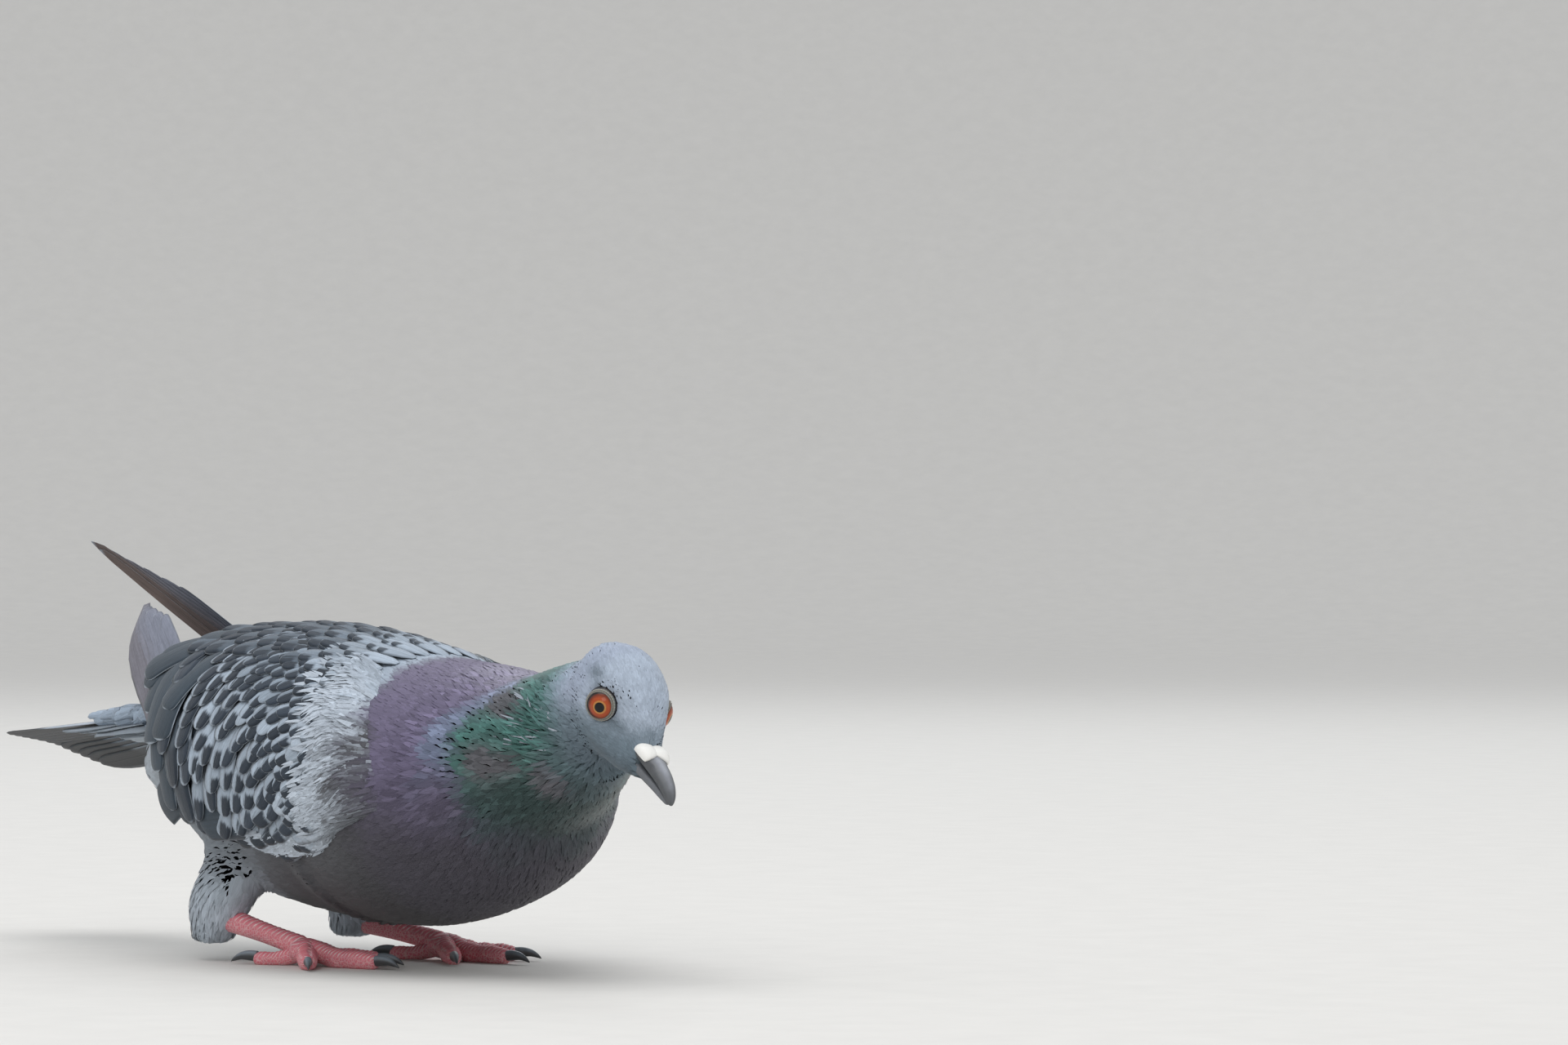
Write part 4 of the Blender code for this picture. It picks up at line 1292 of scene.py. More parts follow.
def coat_piece(name, inside, gap, plan, colours, sizes, slot, unwrap, finish):
    """Tufts over the part of the skin where inside(points) is true, laid by the coat's own lie.

    plan(points) gives length, half width and unevenness for each tuft. A tuft rises quickly from the skin and
    then follows the surface to its tip.
    """
    triangles = SKIN_TRIANGLES["all"]
    triangles = triangles[inside(triangles.mean(axis=1))]
    rng = np.random.default_rng(sizes.seed + sum(map(ord, name)))
    roots = scatter(triangles, gap, rng)
    count = len(roots)
    ahead = coat_lie(roots)
    normal = COAT.normal(roots)
    ahead = unit(ahead - normal * (ahead * normal).sum(axis=-1, keepdims=True))
    messy = ruffle(roots)
    length, width, rough = plan(roots)
    ahead = unit(ahead + rng.normal(size=ahead.shape) * (0.3 * rough + 0.26 * messy)[:, None])
    ahead = ahead + np.cross(normal, ahead) * (waves(roots, 9, 21) * 0.13 * rise(0.05, 0.15, rough))[:, None]
    glint = rng.random(count) < 0.30 * (messy - 0.35)
    length = length * rng.uniform(0.75, 1.15, count) * (1 + 0.35 * glint)
    width = width * rng.uniform(0.75, 1.2, count) * (1 - 0.75 * messy.clip(0, 1)) * (1 - 0.45 * glint)
    uneven_tips = rng.normal(0, 1, count).clip(-1.5, 1.5) * rough
    shape = {
        "root": -coat_depth(roots) * 0.95,
        "tip": -0.15 + uneven_tips + messy * rng.uniform(-0.2, 0.8, count),
        "bow": width * 0.08,
        "thickness": width * 0.04 + 0.04,
        "swerve": rng.normal(0, 0.04 + 0.10 * messy, count),
        "power": 2.6,
    }
    points, vane = lay_blades(COAT, roots, ahead, length, width, TUFT, 3, shape)
    seen = roots + ahead * length[:, None] * 0.6
    tint = coat_colour(seen, colours)
    shine = coat_shine(seen)
    change = 0.03 + 0.07 * rise(0.05, 0.15, rough)
    light = np.exp(rng.normal(0, 1, count) * change + 0.06 * waves(roots, 4, 9))
    pick = rng.random(count)
    # Where the neck is glossy, a fifth of the strands are painted brighter as painted sheen and a third darker
    # at random.
    light = light * (1 + (0.30 * (pick < 0.2) - 0.18 * (pick > 0.68)) * shine)
    tint = tint * light[:, None]
    tint = np.where(glint[:, None], colours.shoulder * 0.8, tint)
    marks = stacked(0 * length, 0 * length, shine)
    keep = lies_flat(COAT, points)
    points = points[keep]
    looks = plain_looks(tint, tint, marks, length, width)
    looks = {key: value[keep] for key, value in looks.items()}
    made = blades_piece(name, points, vane, 3, len(TUFT), looks, unwrap(roots[keep]), 0.003)
    soften(made, COAT, points, 0.8)
    return finish_piece(made, finish)


def shared_finish(name, *settings):
    return bpy.data.materials.get(name) or plumage(name, *settings)


class PIGEON_OT_head_coat(PieceOperator, bpy.types.Operator):
    """Lays the small close feathers of the head"""

    bl_idname = "pigeon.head_coat"
    bl_label = "Head feathers"

    def build(self, colours, sizes):
        def gap(points):
            return sizes.crown_gap + (sizes.face_gap - sizes.crown_gap) * face_share(points)

        def plan(points):
            face, away = face_share(points), 1 - head_share(points)
            return 3.6 - 1.3 * face + 4.5 * away, 0.80 - 0.24 * face + 0.1 * away, 0.03 + 0.08 * away

        finish = shared_finish("head_plumage", 4.0, 0.3)
        for name, low, high in (("coat_face", 0.0, 40.0), ("coat_nape", -40.0, 0.0)):
            def inside(points, low=low, high=high):
                along, _, up = np.moveaxis(to_head(points), -1, 0)
                clear = (head_share(points) > 0.5) & eye_clear(points, 3.95)
                return clear & (along > low) & (along <= high) & ((along < 13.6) | (up < -8.4))

            coat_piece(name, inside, gap, plan, colours, sizes, "head_feathers", head_unwrap, finish)


class PIGEON_OT_neck_coat(PieceOperator, bpy.types.Operator):
    """Lays the long narrow glossy feathers of the neck"""

    bl_idname = "pigeon.neck_coat"
    bl_label = "Neck feathers"

    def build(self, colours, sizes):
        def gap(points):
            return sizes.neck_gap + (sizes.breast_gap - sizes.neck_gap) * (1 - rise(74, 96, points[..., 0]))

        def plan(points):
            share = rise(74, 100, points[..., 0])
            return 9.0 - 1.5 * share, 1.05 - 0.1 * share, 0.10 + 0 * share

        finish = shared_finish("neck_plumage", 3.2, 0.4)
        for name, side in SIDES.items():
            def inside(points, side=side):
                along = points[..., 0]
                own_side = points[..., 1] * side > 0
                return (head_share(points) <= 0.5) & (along > 72) & (along < 124) & own_side

            place = ("neck_feathers", body_unwrap, finish)
            coat_piece(f"coat_neck_{name}", inside, gap, plan, colours, sizes, *place)


def body_inside(points):
    back, down = wing_shares(points)
    under_wing = (back > 0.10) & (back < 0.9) & (down > 0.0) & (down < 0.86)
    under_back = (points[..., 0] < 35) & (points[..., 0] > -45) & (points[..., 2] > 68)
    rump = (points[..., 0] <= -38) & (points[..., 2] > 61)
    return (points[..., 0] <= 72) & ~under_wing & ~under_back & ~rump & (thigh_share(points) <= 0.5)


class PIGEON_OT_body_coat(PieceOperator, bpy.types.Operator):
    """Lays the feathers of breast, belly, flanks, back and rump"""

    bl_idname = "pigeon.body_coat"
    bl_label = "Body feathers"

    def build(self, colours, sizes):
        def gap(points):
            rear = 1 - rise(-40, 50, points[..., 0])
            rump = (1 - rise(-60, -40, points[..., 0])) * rise(50, 62, points[..., 2])
            gap = sizes.breast_gap + (sizes.belly_gap - sizes.breast_gap) * rear
            return gap + (sizes.back_gap - gap) * rump

        def plan(points):
            rear = 1 - rise(-40, 60, points[..., 0])
            vent = 1 - rise(-70, -45, points[..., 0])
            return 9.0 + 3.0 * rear + 2.0 * vent, 1.15 + 0.2 * rear, 0.06 + 0.05 * rear + 0.3 * vent

        finish = shared_finish("body_plumage", 2.8, 0.35)
        for name, low, high in (("coat_breast", 25, 72), ("coat_belly", -28, 25), ("coat_rump", -95, -28)):
            def inside(points, low=low, high=high):
                return body_inside(points) & (points[..., 0] > low) & (points[..., 0] <= high)

            coat_piece(name, inside, gap, plan, colours, sizes, "body_feathers", body_unwrap, finish)


class PIGEON_OT_thigh_coat(PieceOperator, bpy.types.Operator):
    """Lays the soft hair-like feathers of the drumsticks"""

    bl_idname = "pigeon.thigh_coat"
    bl_label = "Thigh feathers"

    def build(self, colours, sizes):
        finish = shared_finish("thigh_plumage", 3.0, 0.3)
        for name, side in SIDES.items():
            def inside(points, side=side):
                return (thigh_share(points) > 0.5) & (points[..., 1] * side > 0)

            def gap(points):
                return np.full(points.shape[:-1], sizes.thigh_gap)

            def plan(points):
                low = 1 - rise(8, 24, points[..., 2])
                return 9.0 - 3.5 * low, 0.78 + 0 * low, 0.10 + 0.12 * low

            place = ("body_feathers", body_unwrap, finish)
            coat_piece(f"coat_thigh_{name}", inside, gap, plan, colours, sizes, *place)


# Where the tips of each row of coverts lie along the wing, at five heights down it.
ROW_HEIGHTS = (0.3, 0.5, 0.65, 0.8, 0.95)
ROW_TIPS = [
    (0, 0.15, 0.14, 0.12, 0.11, 0.11), (6, 0.41, 0.37, 0.33, 0.31, 0.31),
    (10, 0.52, 0.53, 0.47, 0.41, 0.38), (11, 0.565, 0.585, 0.55, 0.49, 0.44),
    (12, 0.61, 0.645, 0.66, 0.63, 0.56), (13, 0.67, 0.705, 0.755, 0.80, 0.79),
    (14, 0.80, 0.845, 0.885, 0.91, 0.90),
]


def wing_slope(back, down):
    """How far below straight back the feathers point: little at the shoulder and the top, most in the middle."""
    steep = 30 + 34 * rise(0.22, 0.58, back)
    return np.radians(steep * (0.3 + 0.7 * rise(0.0, 0.38, down)) * (1 - 0.6 * rise(0.82, 1.02, down)))


def wing_ways(side, back, down):
    """Unit directions straight back along the wing's surface and straight down it."""
    aft = wing_places(side, back + 0.02, down) - wing_places(side, back - 0.02, down)
    low = wing_places(side, back, down + 0.02) - wing_places(side, back, down - 0.02)
    return unit(aft), unit(low)


def from_tips(side, back, down, slope, length):
    """Roots and directions of feathers from the places of their tips."""
    aft, low = wing_ways(side, back, down)
    tips = wing_places(side, back, down)
    ahead = aft * np.cos(slope)[:, None] + low * np.sin(slope)[:, None]
    roots = WING.settle(tips - ahead * length[:, None], 0.0, 5)
    return roots, tips - roots


def rows_piece(name, form, rows, patch, flip=1, bow=None):
    """One piece of rounded vanes laid on a form, from the tables of its rows."""
    table = {key: np.concatenate([row[key] for row in rows]) for key in rows[0]}
    shape = {key: table[key] for key in ("root", "tip", "tilt", "swerve") if key in table}
    shape |= {"bow": table["width"] * 0.10 if bow is None else bow, "thickness": 0.26}
    laid = [table[key] for key in ("roots", "ahead", "length", "width")]
    points, vane = lay_blades(form, *laid, VANE, 5, shape)
    return blades_piece(name, points, vane, 5, len(VANE), table, table["places"], patch, flip)


def wing_base(name, side, colours):
    """A dark shell under the feathers, from the front edge to the rear edge."""
    back, down = crossed(np.linspace(0.03, 0.93, 60), np.linspace(0.0, 0.96, 60))
    outer = WING.settle(wing_places(side, back, down), -wing_depth(back, down) - 1.5)
    inner = WING.settle(outer, -wing_depth(back, down) - 2.2)
    points, faces = plate_mesh(outer, inner)
    tint = np.broadcast_to(colours.tertial * 0.9, points.shape)
    shares = stacked(back.ravel(), down.ravel()) * 0.98 + 0.01
    places = np.concatenate([shares * (0.5, 1), shares * (0.5, 1) + (0.5, 0)])
    nodes = (f"wing_coverts_{name}", f"secondaries_{name}")
    looks = ("tint", tint, places, bpy.data.materials["skin"], "wing_feathers", nodes)
    closed_piece(f"wing_base_{name}", points, [faces], *looks)


def covert_rows(name, side, colours, finish):
    """Rows of rounded feathers run down the wing. Each next row lies further back, under the one before."""
    rng = np.random.default_rng(40 + side)
    blocks = []
    for row in (14, 13, 12.5, 12, 11.5, 11, 10, 9, 8, 7, 6, 5, 4, 3, 2, 1, 0):
        share = row / 14
        pitch = 4.3 + 1.7 * share + 1.3 * (row == 14)
        count = int(84 / pitch)
        number = np.arange(count) + 0.25 + 0.5 * (row % 2) + rng.uniform(-0.14, 0.14, count)
        down = 0.10 + 0.92 * number / count
        tips = follow(ROW_TIPS, row)
        tip = follow(list(zip(ROW_HEIGHTS, tips)), down)[..., 0] - 0.10 * share * (1 - rise(0.1, 0.32, down))
        tip = tip + rng.uniform(-0.008, 0.008, count)
        length = (10.5 + 6.5 * share + 9.0 * (row == 14)) * rng.uniform(0.93, 1.07, count)
        slope = wing_slope(tip, down) + rng.normal(0, 0.09, count)
        roots, ahead = from_tips(side, tip, down, slope, length)
        width = (3.1 + 1.6 * share + 1.2 * (row == 14)) * rng.uniform(0.92, 1.08, count)
        dip, later = wing_depth(tip - 0.06, down - 0.04), wing_depth(tip, down)
        noise = rng.normal(0, 0.025, count)
        edge_place = tip + noise - 0.10 * rise(0.68, 0.85, down) + 0.03 * (1 - rise(0.3, 0.5, down))
        front = 1 - rise(0.16, 0.30, edge_place)
        dusky = rise(0.2, 0.26, tip) * (1 - rise(0.34, 0.50, down + noise)) * (1 - rise(0.5, 0.6, tip))
        tint = mixed(each(colours.covert, count), colours.shoulder, front * 0.8)
        tint = mixed(tint, colours.scapular * 1.5, dusky * 0.55)
        tint = mixed(tint, colours.tertial, np.full(count, 0.9 * (row == 14)))
        tint = tint * uneven(rng, 0.07, count)
        skip = (rng.random(count) < 0.06 + 0.25 * front) & (row < 12)
        mark = (1.0 - 0.75 * front + 0.35 * (row >= 13)) * ~skip * rng.uniform(0.85, 1.12, count)
        edge = mixed(each(colours.fringe * 1.12, count), colours.shoulder, 0.6 * front)
        dark = each(colours.chequer, count) * uneven(rng, 0.14, count)
        marks = stacked(mark, 0.13 + 0.04 * share + 0 * down, 0.08 + 0.2 * (row > 12) + 0 * down)
        block = {
            "roots": roots, "ahead": ahead, "length": length, "width": width,
            "root": -dip - 1.5, "tip": -later + 0.25 + rng.uniform(-0.1, 0.1, count),
            "tilt": np.full(count, -0.05 * side), "swerve": rng.normal(0.0, 0.03, count),
            "tint": tint, "dark": dark, "fringe": edge, "marks": marks,
            "places": stacked(tip.clip(0, 1), (down * 0.94 + 0.02).clip(0, 1)),
        }
        keep = (tip > 0.14 + 0.14 * rise(0.68, 0.9, down)) & (down > 0.66 * (row % 1 > 0))
        blocks.append({key: value[keep] for key, value in block.items()})
    finish_piece(rows_piece(f"coverts_{name}", WING, blocks, 0.02, -side), finish)


def shoulder_strands(name, side, colours, finish):
    """Soft pale strands over the bend of the wing and along its lower edge."""
    rng = np.random.default_rng(60 + side)
    back, down = rng.uniform(-0.06, 0.30, 6000), rng.uniform(0.05, 1.03, 6000)
    low_back, low_down = rng.uniform(0.08, 0.80, 1300), rng.uniform(0.955, 1.035, 1300)
    back, down = np.concatenate([back, low_back]), np.concatenate([down, low_down])
    reach = 0.12 - 0.05 * (1 - rise(0.2, 0.4, down)) + 0.14 * rise(0.6, 0.9, down)
    keep = rng.random(len(back)) > 0.93 * rise(-0.02, 0.13, back - reach) * (down < 0.94)
    back, down = back[keep], down[keep]
    count = len(back)
    length = rng.uniform(6.0, 9.5, count)
    slope = wing_slope(back, down) * 0.8 + 0.25 * waves(wing_places(side, back, down), 14, 5)
    slope = slope + rng.normal(0, 0.08, count)
    roots, ahead = from_tips(side, back, down, slope, length)
    width = rng.uniform(0.4, 0.8, count)
    dip, later = wing_depth(back - 0.05, down), wing_depth(back, down)
    shape = {
        "root": -dip - 0.9 - 2.6 * (1 - rise(-0.02, 0.10, back)),
        "tip": -later + 0.45 + rng.normal(0, 0.12, count) - 0.8 * (1 - rise(-0.06, 0.02, back)),
        "bow": width * 0.08,
        "thickness": width * 0.04 + 0.04,
        "swerve": rng.normal(0, 0.05, count),
        "power": 2.4,
    }
    points, vane = lay_blades(WING, roots, ahead, length, width, TUFT, 3, shape)
    tips = wing_places(side, back, down)
    forward = rise(38, 58, tips[:, 0] + 3.0 * waves(tips, 9, 2) + rng.normal(0, 3.0, count))
    tint = mixed(each(colours.shoulder, count), coat_colour(tips, colours), forward)
    above = 1 - rise(0.10, 0.30, down)
    tint = mixed(tint, colours.covert * 0.8, above * 0.7 * (1 - forward))
    below = rise(0.80, 0.96, down) * (1 - rise(0.02, 0.25, back))
    tint = mixed(tint, colours.flank, below * 0.7)
    tint = tint * uneven(rng, 0.10, count)
    looks = plain_looks(tint, tint, np.zeros((count, 3)), length, width)
    places = stacked((back + 0.06) / 0.89, down / 1.07)
    made = blades_piece(f"shoulder_{name}", points, vane, 3, len(TUFT), looks, places, 0.003)
    soften(made, WING, points, 0.8)
    finish_piece(made, finish)


class PIGEON_OT_coverts(PieceOperator, bpy.types.Operator):
    """Lays the rows of coverts over each folded wing, on a dark wing base"""

    bl_idname = "pigeon.coverts"
    bl_label = "Wing coverts"

    def build(self, colours, sizes):
        finish = shared_finish("wing_plumage", 2.4, 0.45, 0.30)
        for name, side in SIDES.items():
            wing_base(name, side, colours)
            covert_rows(name, side, colours, finish)
            shoulder_strands(name, side, colours, finish)


class PIGEON_OT_mantle(PieceOperator, bpy.types.Operator):
    """Lays the scapulars over the back, from one wing across to the other"""

    bl_idname = "pigeon.mantle"
    bl_label = "Back feathers"

    def build(self, colours, sizes):
        rng = np.random.default_rng(33)
        steps = np.array([42, 37.5, 33, 28, 23, 17.5, 12, 6, 0, -6.5, -13, -20, -27])
        blocks = []
        for row in range(len(steps) - 1, -1, -1):
            share = row / (len(steps) - 1)
            pitch = 4.6 + 3.2 * share
            reach = 34 - 8 * share
            centre, width, height = columns(WINGS, steps[row])
            arc = math.radians(2 * reach) * (width + height) / 2
            count = int(arc / pitch)
            number = np.arange(count) + 0.25 + 0.5 * (row % 2) + rng.uniform(-0.12, 0.12, count)
            turn = np.radians((number / count * 2 - 1) * reach)
            x = steps[row] + rng.uniform(-1.2, 1.2, count) - 6.0 * np.abs(turn)
            centre, width, height = columns(WINGS, x)
            roots = stacked(x, width * np.sin(turn), centre + height * np.cos(turn))
            ahead = stacked(-1 + 0 * turn, 0.55 * np.sin(turn), -0.28 * np.abs(np.sin(turn)))
            ahead = ahead + rng.normal(0, 0.04, ahead.shape)
            length = (13.0 + 7.0 * share) * rng.uniform(0.93, 1.07, count)
            front = rise(18, 36, x + 3 * waves(roots, 10, 6))
            tint = mixed(each(colours.scapular, count), colours.covert * 0.85, front)
            tint = mixed(tint, coat_colour(roots, colours), rise(32, 44, x))
            tint = tint * uneven(rng, 0.10, count)
            edge = mixed(each(colours.fringe * 0.9, count), tint * 1.15, rise(28, 42, x))
            middle = 1 - rise(0.0, 0.1, np.abs(turn))
            tip = 0.75 - 0.25 * share + rng.uniform(-0.1, 0.1, count) - 0.5 * rise(26, 42, x)
            blocks.append({
                "roots": roots, "ahead": ahead, "root": -1.3 - 0.2 * middle, "tip": tip,
                "length": length, "width": pitch * rng.uniform(0.64, 0.74, count),
                "tint": tint, "dark": each(colours.chequer, count), "fringe": edge,
                "marks": stacked(0.9 - 0.3 * front, 0.16 - 0.03 * front, 0.15 * (1 - front)),
                "places": stacked(turn / 1.3 + 0.5, (x + 40) / 105).clip(0, 1),
            })
        made = rows_piece("mantle", WING, blocks, 0.02)
        finish_piece(made, shared_finish("wing_plumage", 2.4, 0.45, 0.30))


def quills_on_wing(name, side, tips, width, length, layer, looks, finish, patch):
    """Long feathers from their tips' back and down shares and their slopes in degrees."""
    back, down, slope = np.array(tips, float).T
    roots, ahead = from_tips(side, back, down, np.radians(slope), length)
    shape = {
        "root": -1.8 + layer,
        "tip": layer,
        "bow": width * 0.12,
        "thickness": 0.4,
        "tilt": -0.02 * side,
        "swerve": -0.05 * side,
    }
    points, vane = lay_blades(WING, roots, ahead, length, width, quill_profile(), 9, shape)
    count = len(roots)
    places = stacked((np.arange(count) % 4 + 0.5) / 4, (np.arange(count) // 4 + 0.5) / 4)
    looks |= {"dark": looks["tint"] * 0.5, "length": length, "width": width}
    made = blades_piece(name, points, vane, 9, QUILL_STATIONS, looks, places, patch, -side)
    finish_piece(made, finish)


def tertials(name, side, colours, finish):
    """Large feathers that drape back and down over the rear of the wing."""
    tips = [(0.86, 0.20, 22), (0.93, 0.37, 40), (0.965, 0.63, 58), (0.87, 0.605, 58), (0.79, 0.49, 52)]
    count = len(tips)
    tint = colours.tertial * np.array([[1.0], [0.95], [1.05], [0.9], [1.0]])
    fringe = each(colours.fringe * 1.6, count)
    marks = each([0.0, 0.12, 0.45], count)
    if side == LEFT:
        fringe[0], marks[0, 1] = colours.cere, 0.32
    looks = {"tint": tint, "fringe": fringe, "marks": marks}
    width = np.array([7.6, 8.0, 8.2, 8.6, 6.6])
    length = np.array([40.0, 42.0, 44.0, 42.0, 34.0])
    layer = np.array([-0.1, 0.0, 0.15, 0.4, 0.55])
    quills_on_wing(f"tertials_{name}", side, tips, width, length, layer, looks, finish, 0.24)


def secondaries(name, side, colours, finish):
    """Long rounded feathers that show along the wing's rear edge, below the tertials."""
    rng = np.random.default_rng(80 + side)
    down = np.array([0.30, 0.42, 0.54, 0.65, 0.76, 0.86, 0.95, 1.02])
    back = np.array([0.93, 0.97, 1.0, 1.01, 1.02, 1.02, 0.99, 0.90])
    slope = np.array([40, 50, 56, 58, 56, 50, 40, 26])
    count = len(down)
    tint = colours.tertial * 0.9 * np.exp(rng.normal(0, 0.08, (count, 1)))
    looks = {
        "tint": tint,
        "fringe": each(colours.fringe * 1.4, count),
        "marks": each([0.0, 0.11, 0.2], count),
    }
    layer = np.linspace(-0.5, -0.9, count)
    tips = stacked(back, down, slope)
    width, length = np.full(count, 7.0), np.full(count, 34.0)
    quills_on_wing(f"secondary_feathers_{name}", side, tips, width, length, layer, looks, finish, 0.2)


def primaries(name, side, colours, finish):
    """Blades fanned between the leading and the trailing edge of the folded primaries."""
    rng = np.random.default_rng(90 + side)
    shares = np.linspace(0, 1, 6)
    edges = {
        edge: [(share, *point) for share, point in zip(shares, PRIMARIES[name][edge])]
        for edge in ("leading", "trailing")
    }
    number = np.arange(7)
    tip = np.array([0.66, 0.74, 0.82, 0.89, 0.95, 0.995, 0.975])
    aside = np.array([0.82, 0.74, 0.65, 0.55, 0.45, 0.34, 0.17])
    profile = quill_profile()
    offsets = np.linspace(-1, 1, 9)

    def fan(along, across):
        leading, trailing = follow(edges["leading"], along), follow(edges["trailing"], along)
        chord = trailing - leading
        run = follow(edges["leading"], along + 0.02) - follow(edges["leading"], along - 0.02)
        normal = unit(np.cross(run, chord) * side)
        bow = 10.0 * across * (1 - across) * np.minimum(1, 2.5 * (1 - along))
        place = leading + chord * across[..., None] + normal * bow[..., None]
        return place, normal, np.linalg.norm(chord, axis=-1)

    along = tip[:, None, None] * profile[None, :, :1] + 0 * offsets
    middle = np.broadcast_to(aside[:, None, None] + 0.02 * (1 - along), along.shape)
    _, _, chord = fan(along, middle)
    half = 5.6 * profile[None, :, 1:] * offsets / np.maximum(chord, 9.0)
    across = np.clip(middle + half, 0.0, 1.0)
    surface, normal, _ = fan(along, across)
    stack = (6 - number)[:, None, None, None] * 0.16 - 1.0
    crown = 0.5 * (1 - offsets**2)[None, None, :, None]
    top = surface + normal * (stack + crown)
    bottom = top - normal * (0.4 * (1 - offsets**2)[None, None, :, None] + 0.05)
    ends = []
    for share in (0.0, 1.0):
        place, upward, _ = fan(tip * share, aside)
        ends.append(place + upward * stack[:, 0, 0])
    points = blade_points(top, bottom, ends[0], ends[1])
    count = len(number)
    tint = each(colours.primary, count) * uneven(rng, 0.07, count)
    worn = np.array([0.05, 0.1, 0.2, 0.35, 0.6, 0.9, 0.95]) * (1 if side == LEFT else 0.45)
    tint = mixed(tint, colours.brown, worn)
    looks = {
        "tint": tint,
        "dark": each(colours.brown * 0.8, count),
        "fringe": each(colours.fringe, count),
        "marks": each([0.0, 0.055, 0.1], count),
        "length": np.full(count, 70.0),
        "width": np.full(count, 5.6),
    }
    places = stacked((number % 3 + 0.5) / 3, (number // 3 + 0.5) / 3)
    vane = vane_grid(profile[:, 0], 9)
    laid = (points, vane, 9, QUILL_STATIONS, looks, places, 0.28, -side)
    made = blades_piece(f"primary_feathers_{name}", *laid)
    finish_piece(face_outwards(made), finish, [f"primaries_{name}"])


class PIGEON_OT_quills(PieceOperator, bpy.types.Operator):
    """Lays the tertials, secondaries and primaries of both wings"""

    bl_idname = "pigeon.quills"
    bl_label = "Flight feathers"

    def build(self, colours, sizes):
        finish = shared_finish("flight_plumage", 1.6, 0.4, 0.32)
        for name, side in SIDES.items():
            tertials(name, side, colours, finish)
            secondaries(name, side, colours, finish)
            primaries(name, side, colours, finish)


def over_tail(along, across, height, face=1):
    """Points over the tail (face 1) or under it (face -1), for shares of its length and half width."""
    x = TAIL[0][0] + (TAIL[-1][0] - TAIL[0][0]) * along
    y, z, width, thickness, roll = columns(TAIL, x)
    roll = np.radians(roll)
    flat = width * across
    droop = 3.0 * np.clip((np.abs(across) - 0.78) / 0.3, 0, 1) ** 2 * (1 - rise(0.6, 0.95, along))
    up = TAIL_CAMBER * (1 - across**2) * along - droop + face * (thickness / 2 + height)
    level = y + flat * np.cos(roll) + up * np.sin(roll)
    return spread(x, level, z - flat * np.sin(roll) + up * np.cos(roll))


def tail_blades(start, length, seat, half, height, profile, across, thickness, face=1):
    """Blades laid on the tail: start and length are shares of its length, seat and half of its width."""
    offsets = np.linspace(-1, 1, across)
    along = start[:, None, None] + length[:, None, None] * profile[None, :, :1] + 0 * offsets
    spread = seat[:, None, None] + half[:, None, None] * profile[None, :, 1:] * offsets
    upward = height(profile[None, :, :1]) if callable(height) else height[:, None, None]
    rise_up = upward + 0 * along
    crown = thickness * 0.8 * (1 - offsets**2)
    top = over_tail(along, spread, rise_up + crown, face)
    bottom = over_tail(along, spread, rise_up + crown - thickness * (1 - offsets**2) - 0.03, face)
    ends = [over_tail(start + length * share, seat, rise_up[:, -share, 0], face) for share in (0, 1)]
    return blade_points(top, bottom, *ends)


def tail_vanes(colours):
    count = 12
    rng = np.random.default_rng(5)
    number = np.arange(count)
    seat = (number + 0.5) / count * 2 - 1
    rank = np.abs(number - 5.5) - 0.5
    reach = 1 - TAIL_ROUNDING / 91 * np.abs(seat) ** 3 - 0.004 * rng.random(count)
    height = -0.28 - 0.20 * rank - 0.08 * (number % 2) * (rank < 1)
    points = tail_blades(0 * seat, reach, seat * 0.80, 0.235 + 0 * seat, height, quill_profile(), 9, 0.22)
    tint = each(colours.tail, count) * uneven(rng, 0.05, count)
    tint = np.where((np.abs(seat) > 0.88)[:, None], colours.shoulder * 0.9, tint)
    looks = {
        "tint": tint,
        "dark": each(colours.band, count),
        "fringe": each(colours.tail * 0.8, count),
        "marks": each([0.0, 0.05, 0.1], count),
        "length": np.full(count, 91.0),
        "width": np.full(count, 5.0),
    }
    places = stacked((number % 4 + 0.5) / 4, (number // 4 + 0.5) / 4)
    vane = vane_grid(quill_profile()[:, 0], 9)
    made = blades_piece("tail_vanes", points, vane, 9, QUILL_STATIONS, looks, places, 0.22)
    finish_piece(face_outwards(made), tail_finish(), ["tail"])


def upper_tail_coverts(colours):
    """Rows of soft feathers from the rump out over the root of the tail."""
    rng = np.random.default_rng(12)
    blocks = []
    for row, x in enumerate(np.arange(-80, -36, 5.0)):
        count = 15 - (row % 2)
        turn = np.radians(np.linspace(-84, 84, count) + rng.uniform(-3, 3, count))
        y, z, width, _, _ = columns(TAIL, np.full(count, float(x)))
        roots = stacked(np.full(count, x), y + (width + 3) * np.sin(turn), z + 2 + 9 * np.cos(turn))
        roots = COAT.settle(roots, 0.0, 6)
        ahead = stacked(np.full(count, -1.0), 0.10 * np.sin(turn), np.full(count, -0.14))
        tint = each(colours.tail * 1.1, count) * uneven(rng, 0.07, count)
        blocks.append({
            "roots": roots, "ahead": ahead + rng.normal(0, 0.04, ahead.shape),
            "root": np.full(count, -0.9), "tip": 0.5 + rng.uniform(-0.1, 0.1, count),
            "length": 19.0 * rng.uniform(0.92, 1.06, count), "width": 3.7 * rng.uniform(0.9, 1.1, count),
            "tint": tint, "dark": tint, "fringe": tint * 1.2, "marks": each([0.0, 0.10, 0.0], count),
            "places": stacked(turn / 3.6 + 0.5, np.full(count, (x + 90) / 60)).clip(0, 1),
        })
    made = rows_piece("upper_tail_coverts", COAT, blocks, 0.03, bow=0.4)
    finish_piece(face_outwards(made), bpy.data.materials["body_plumage"])


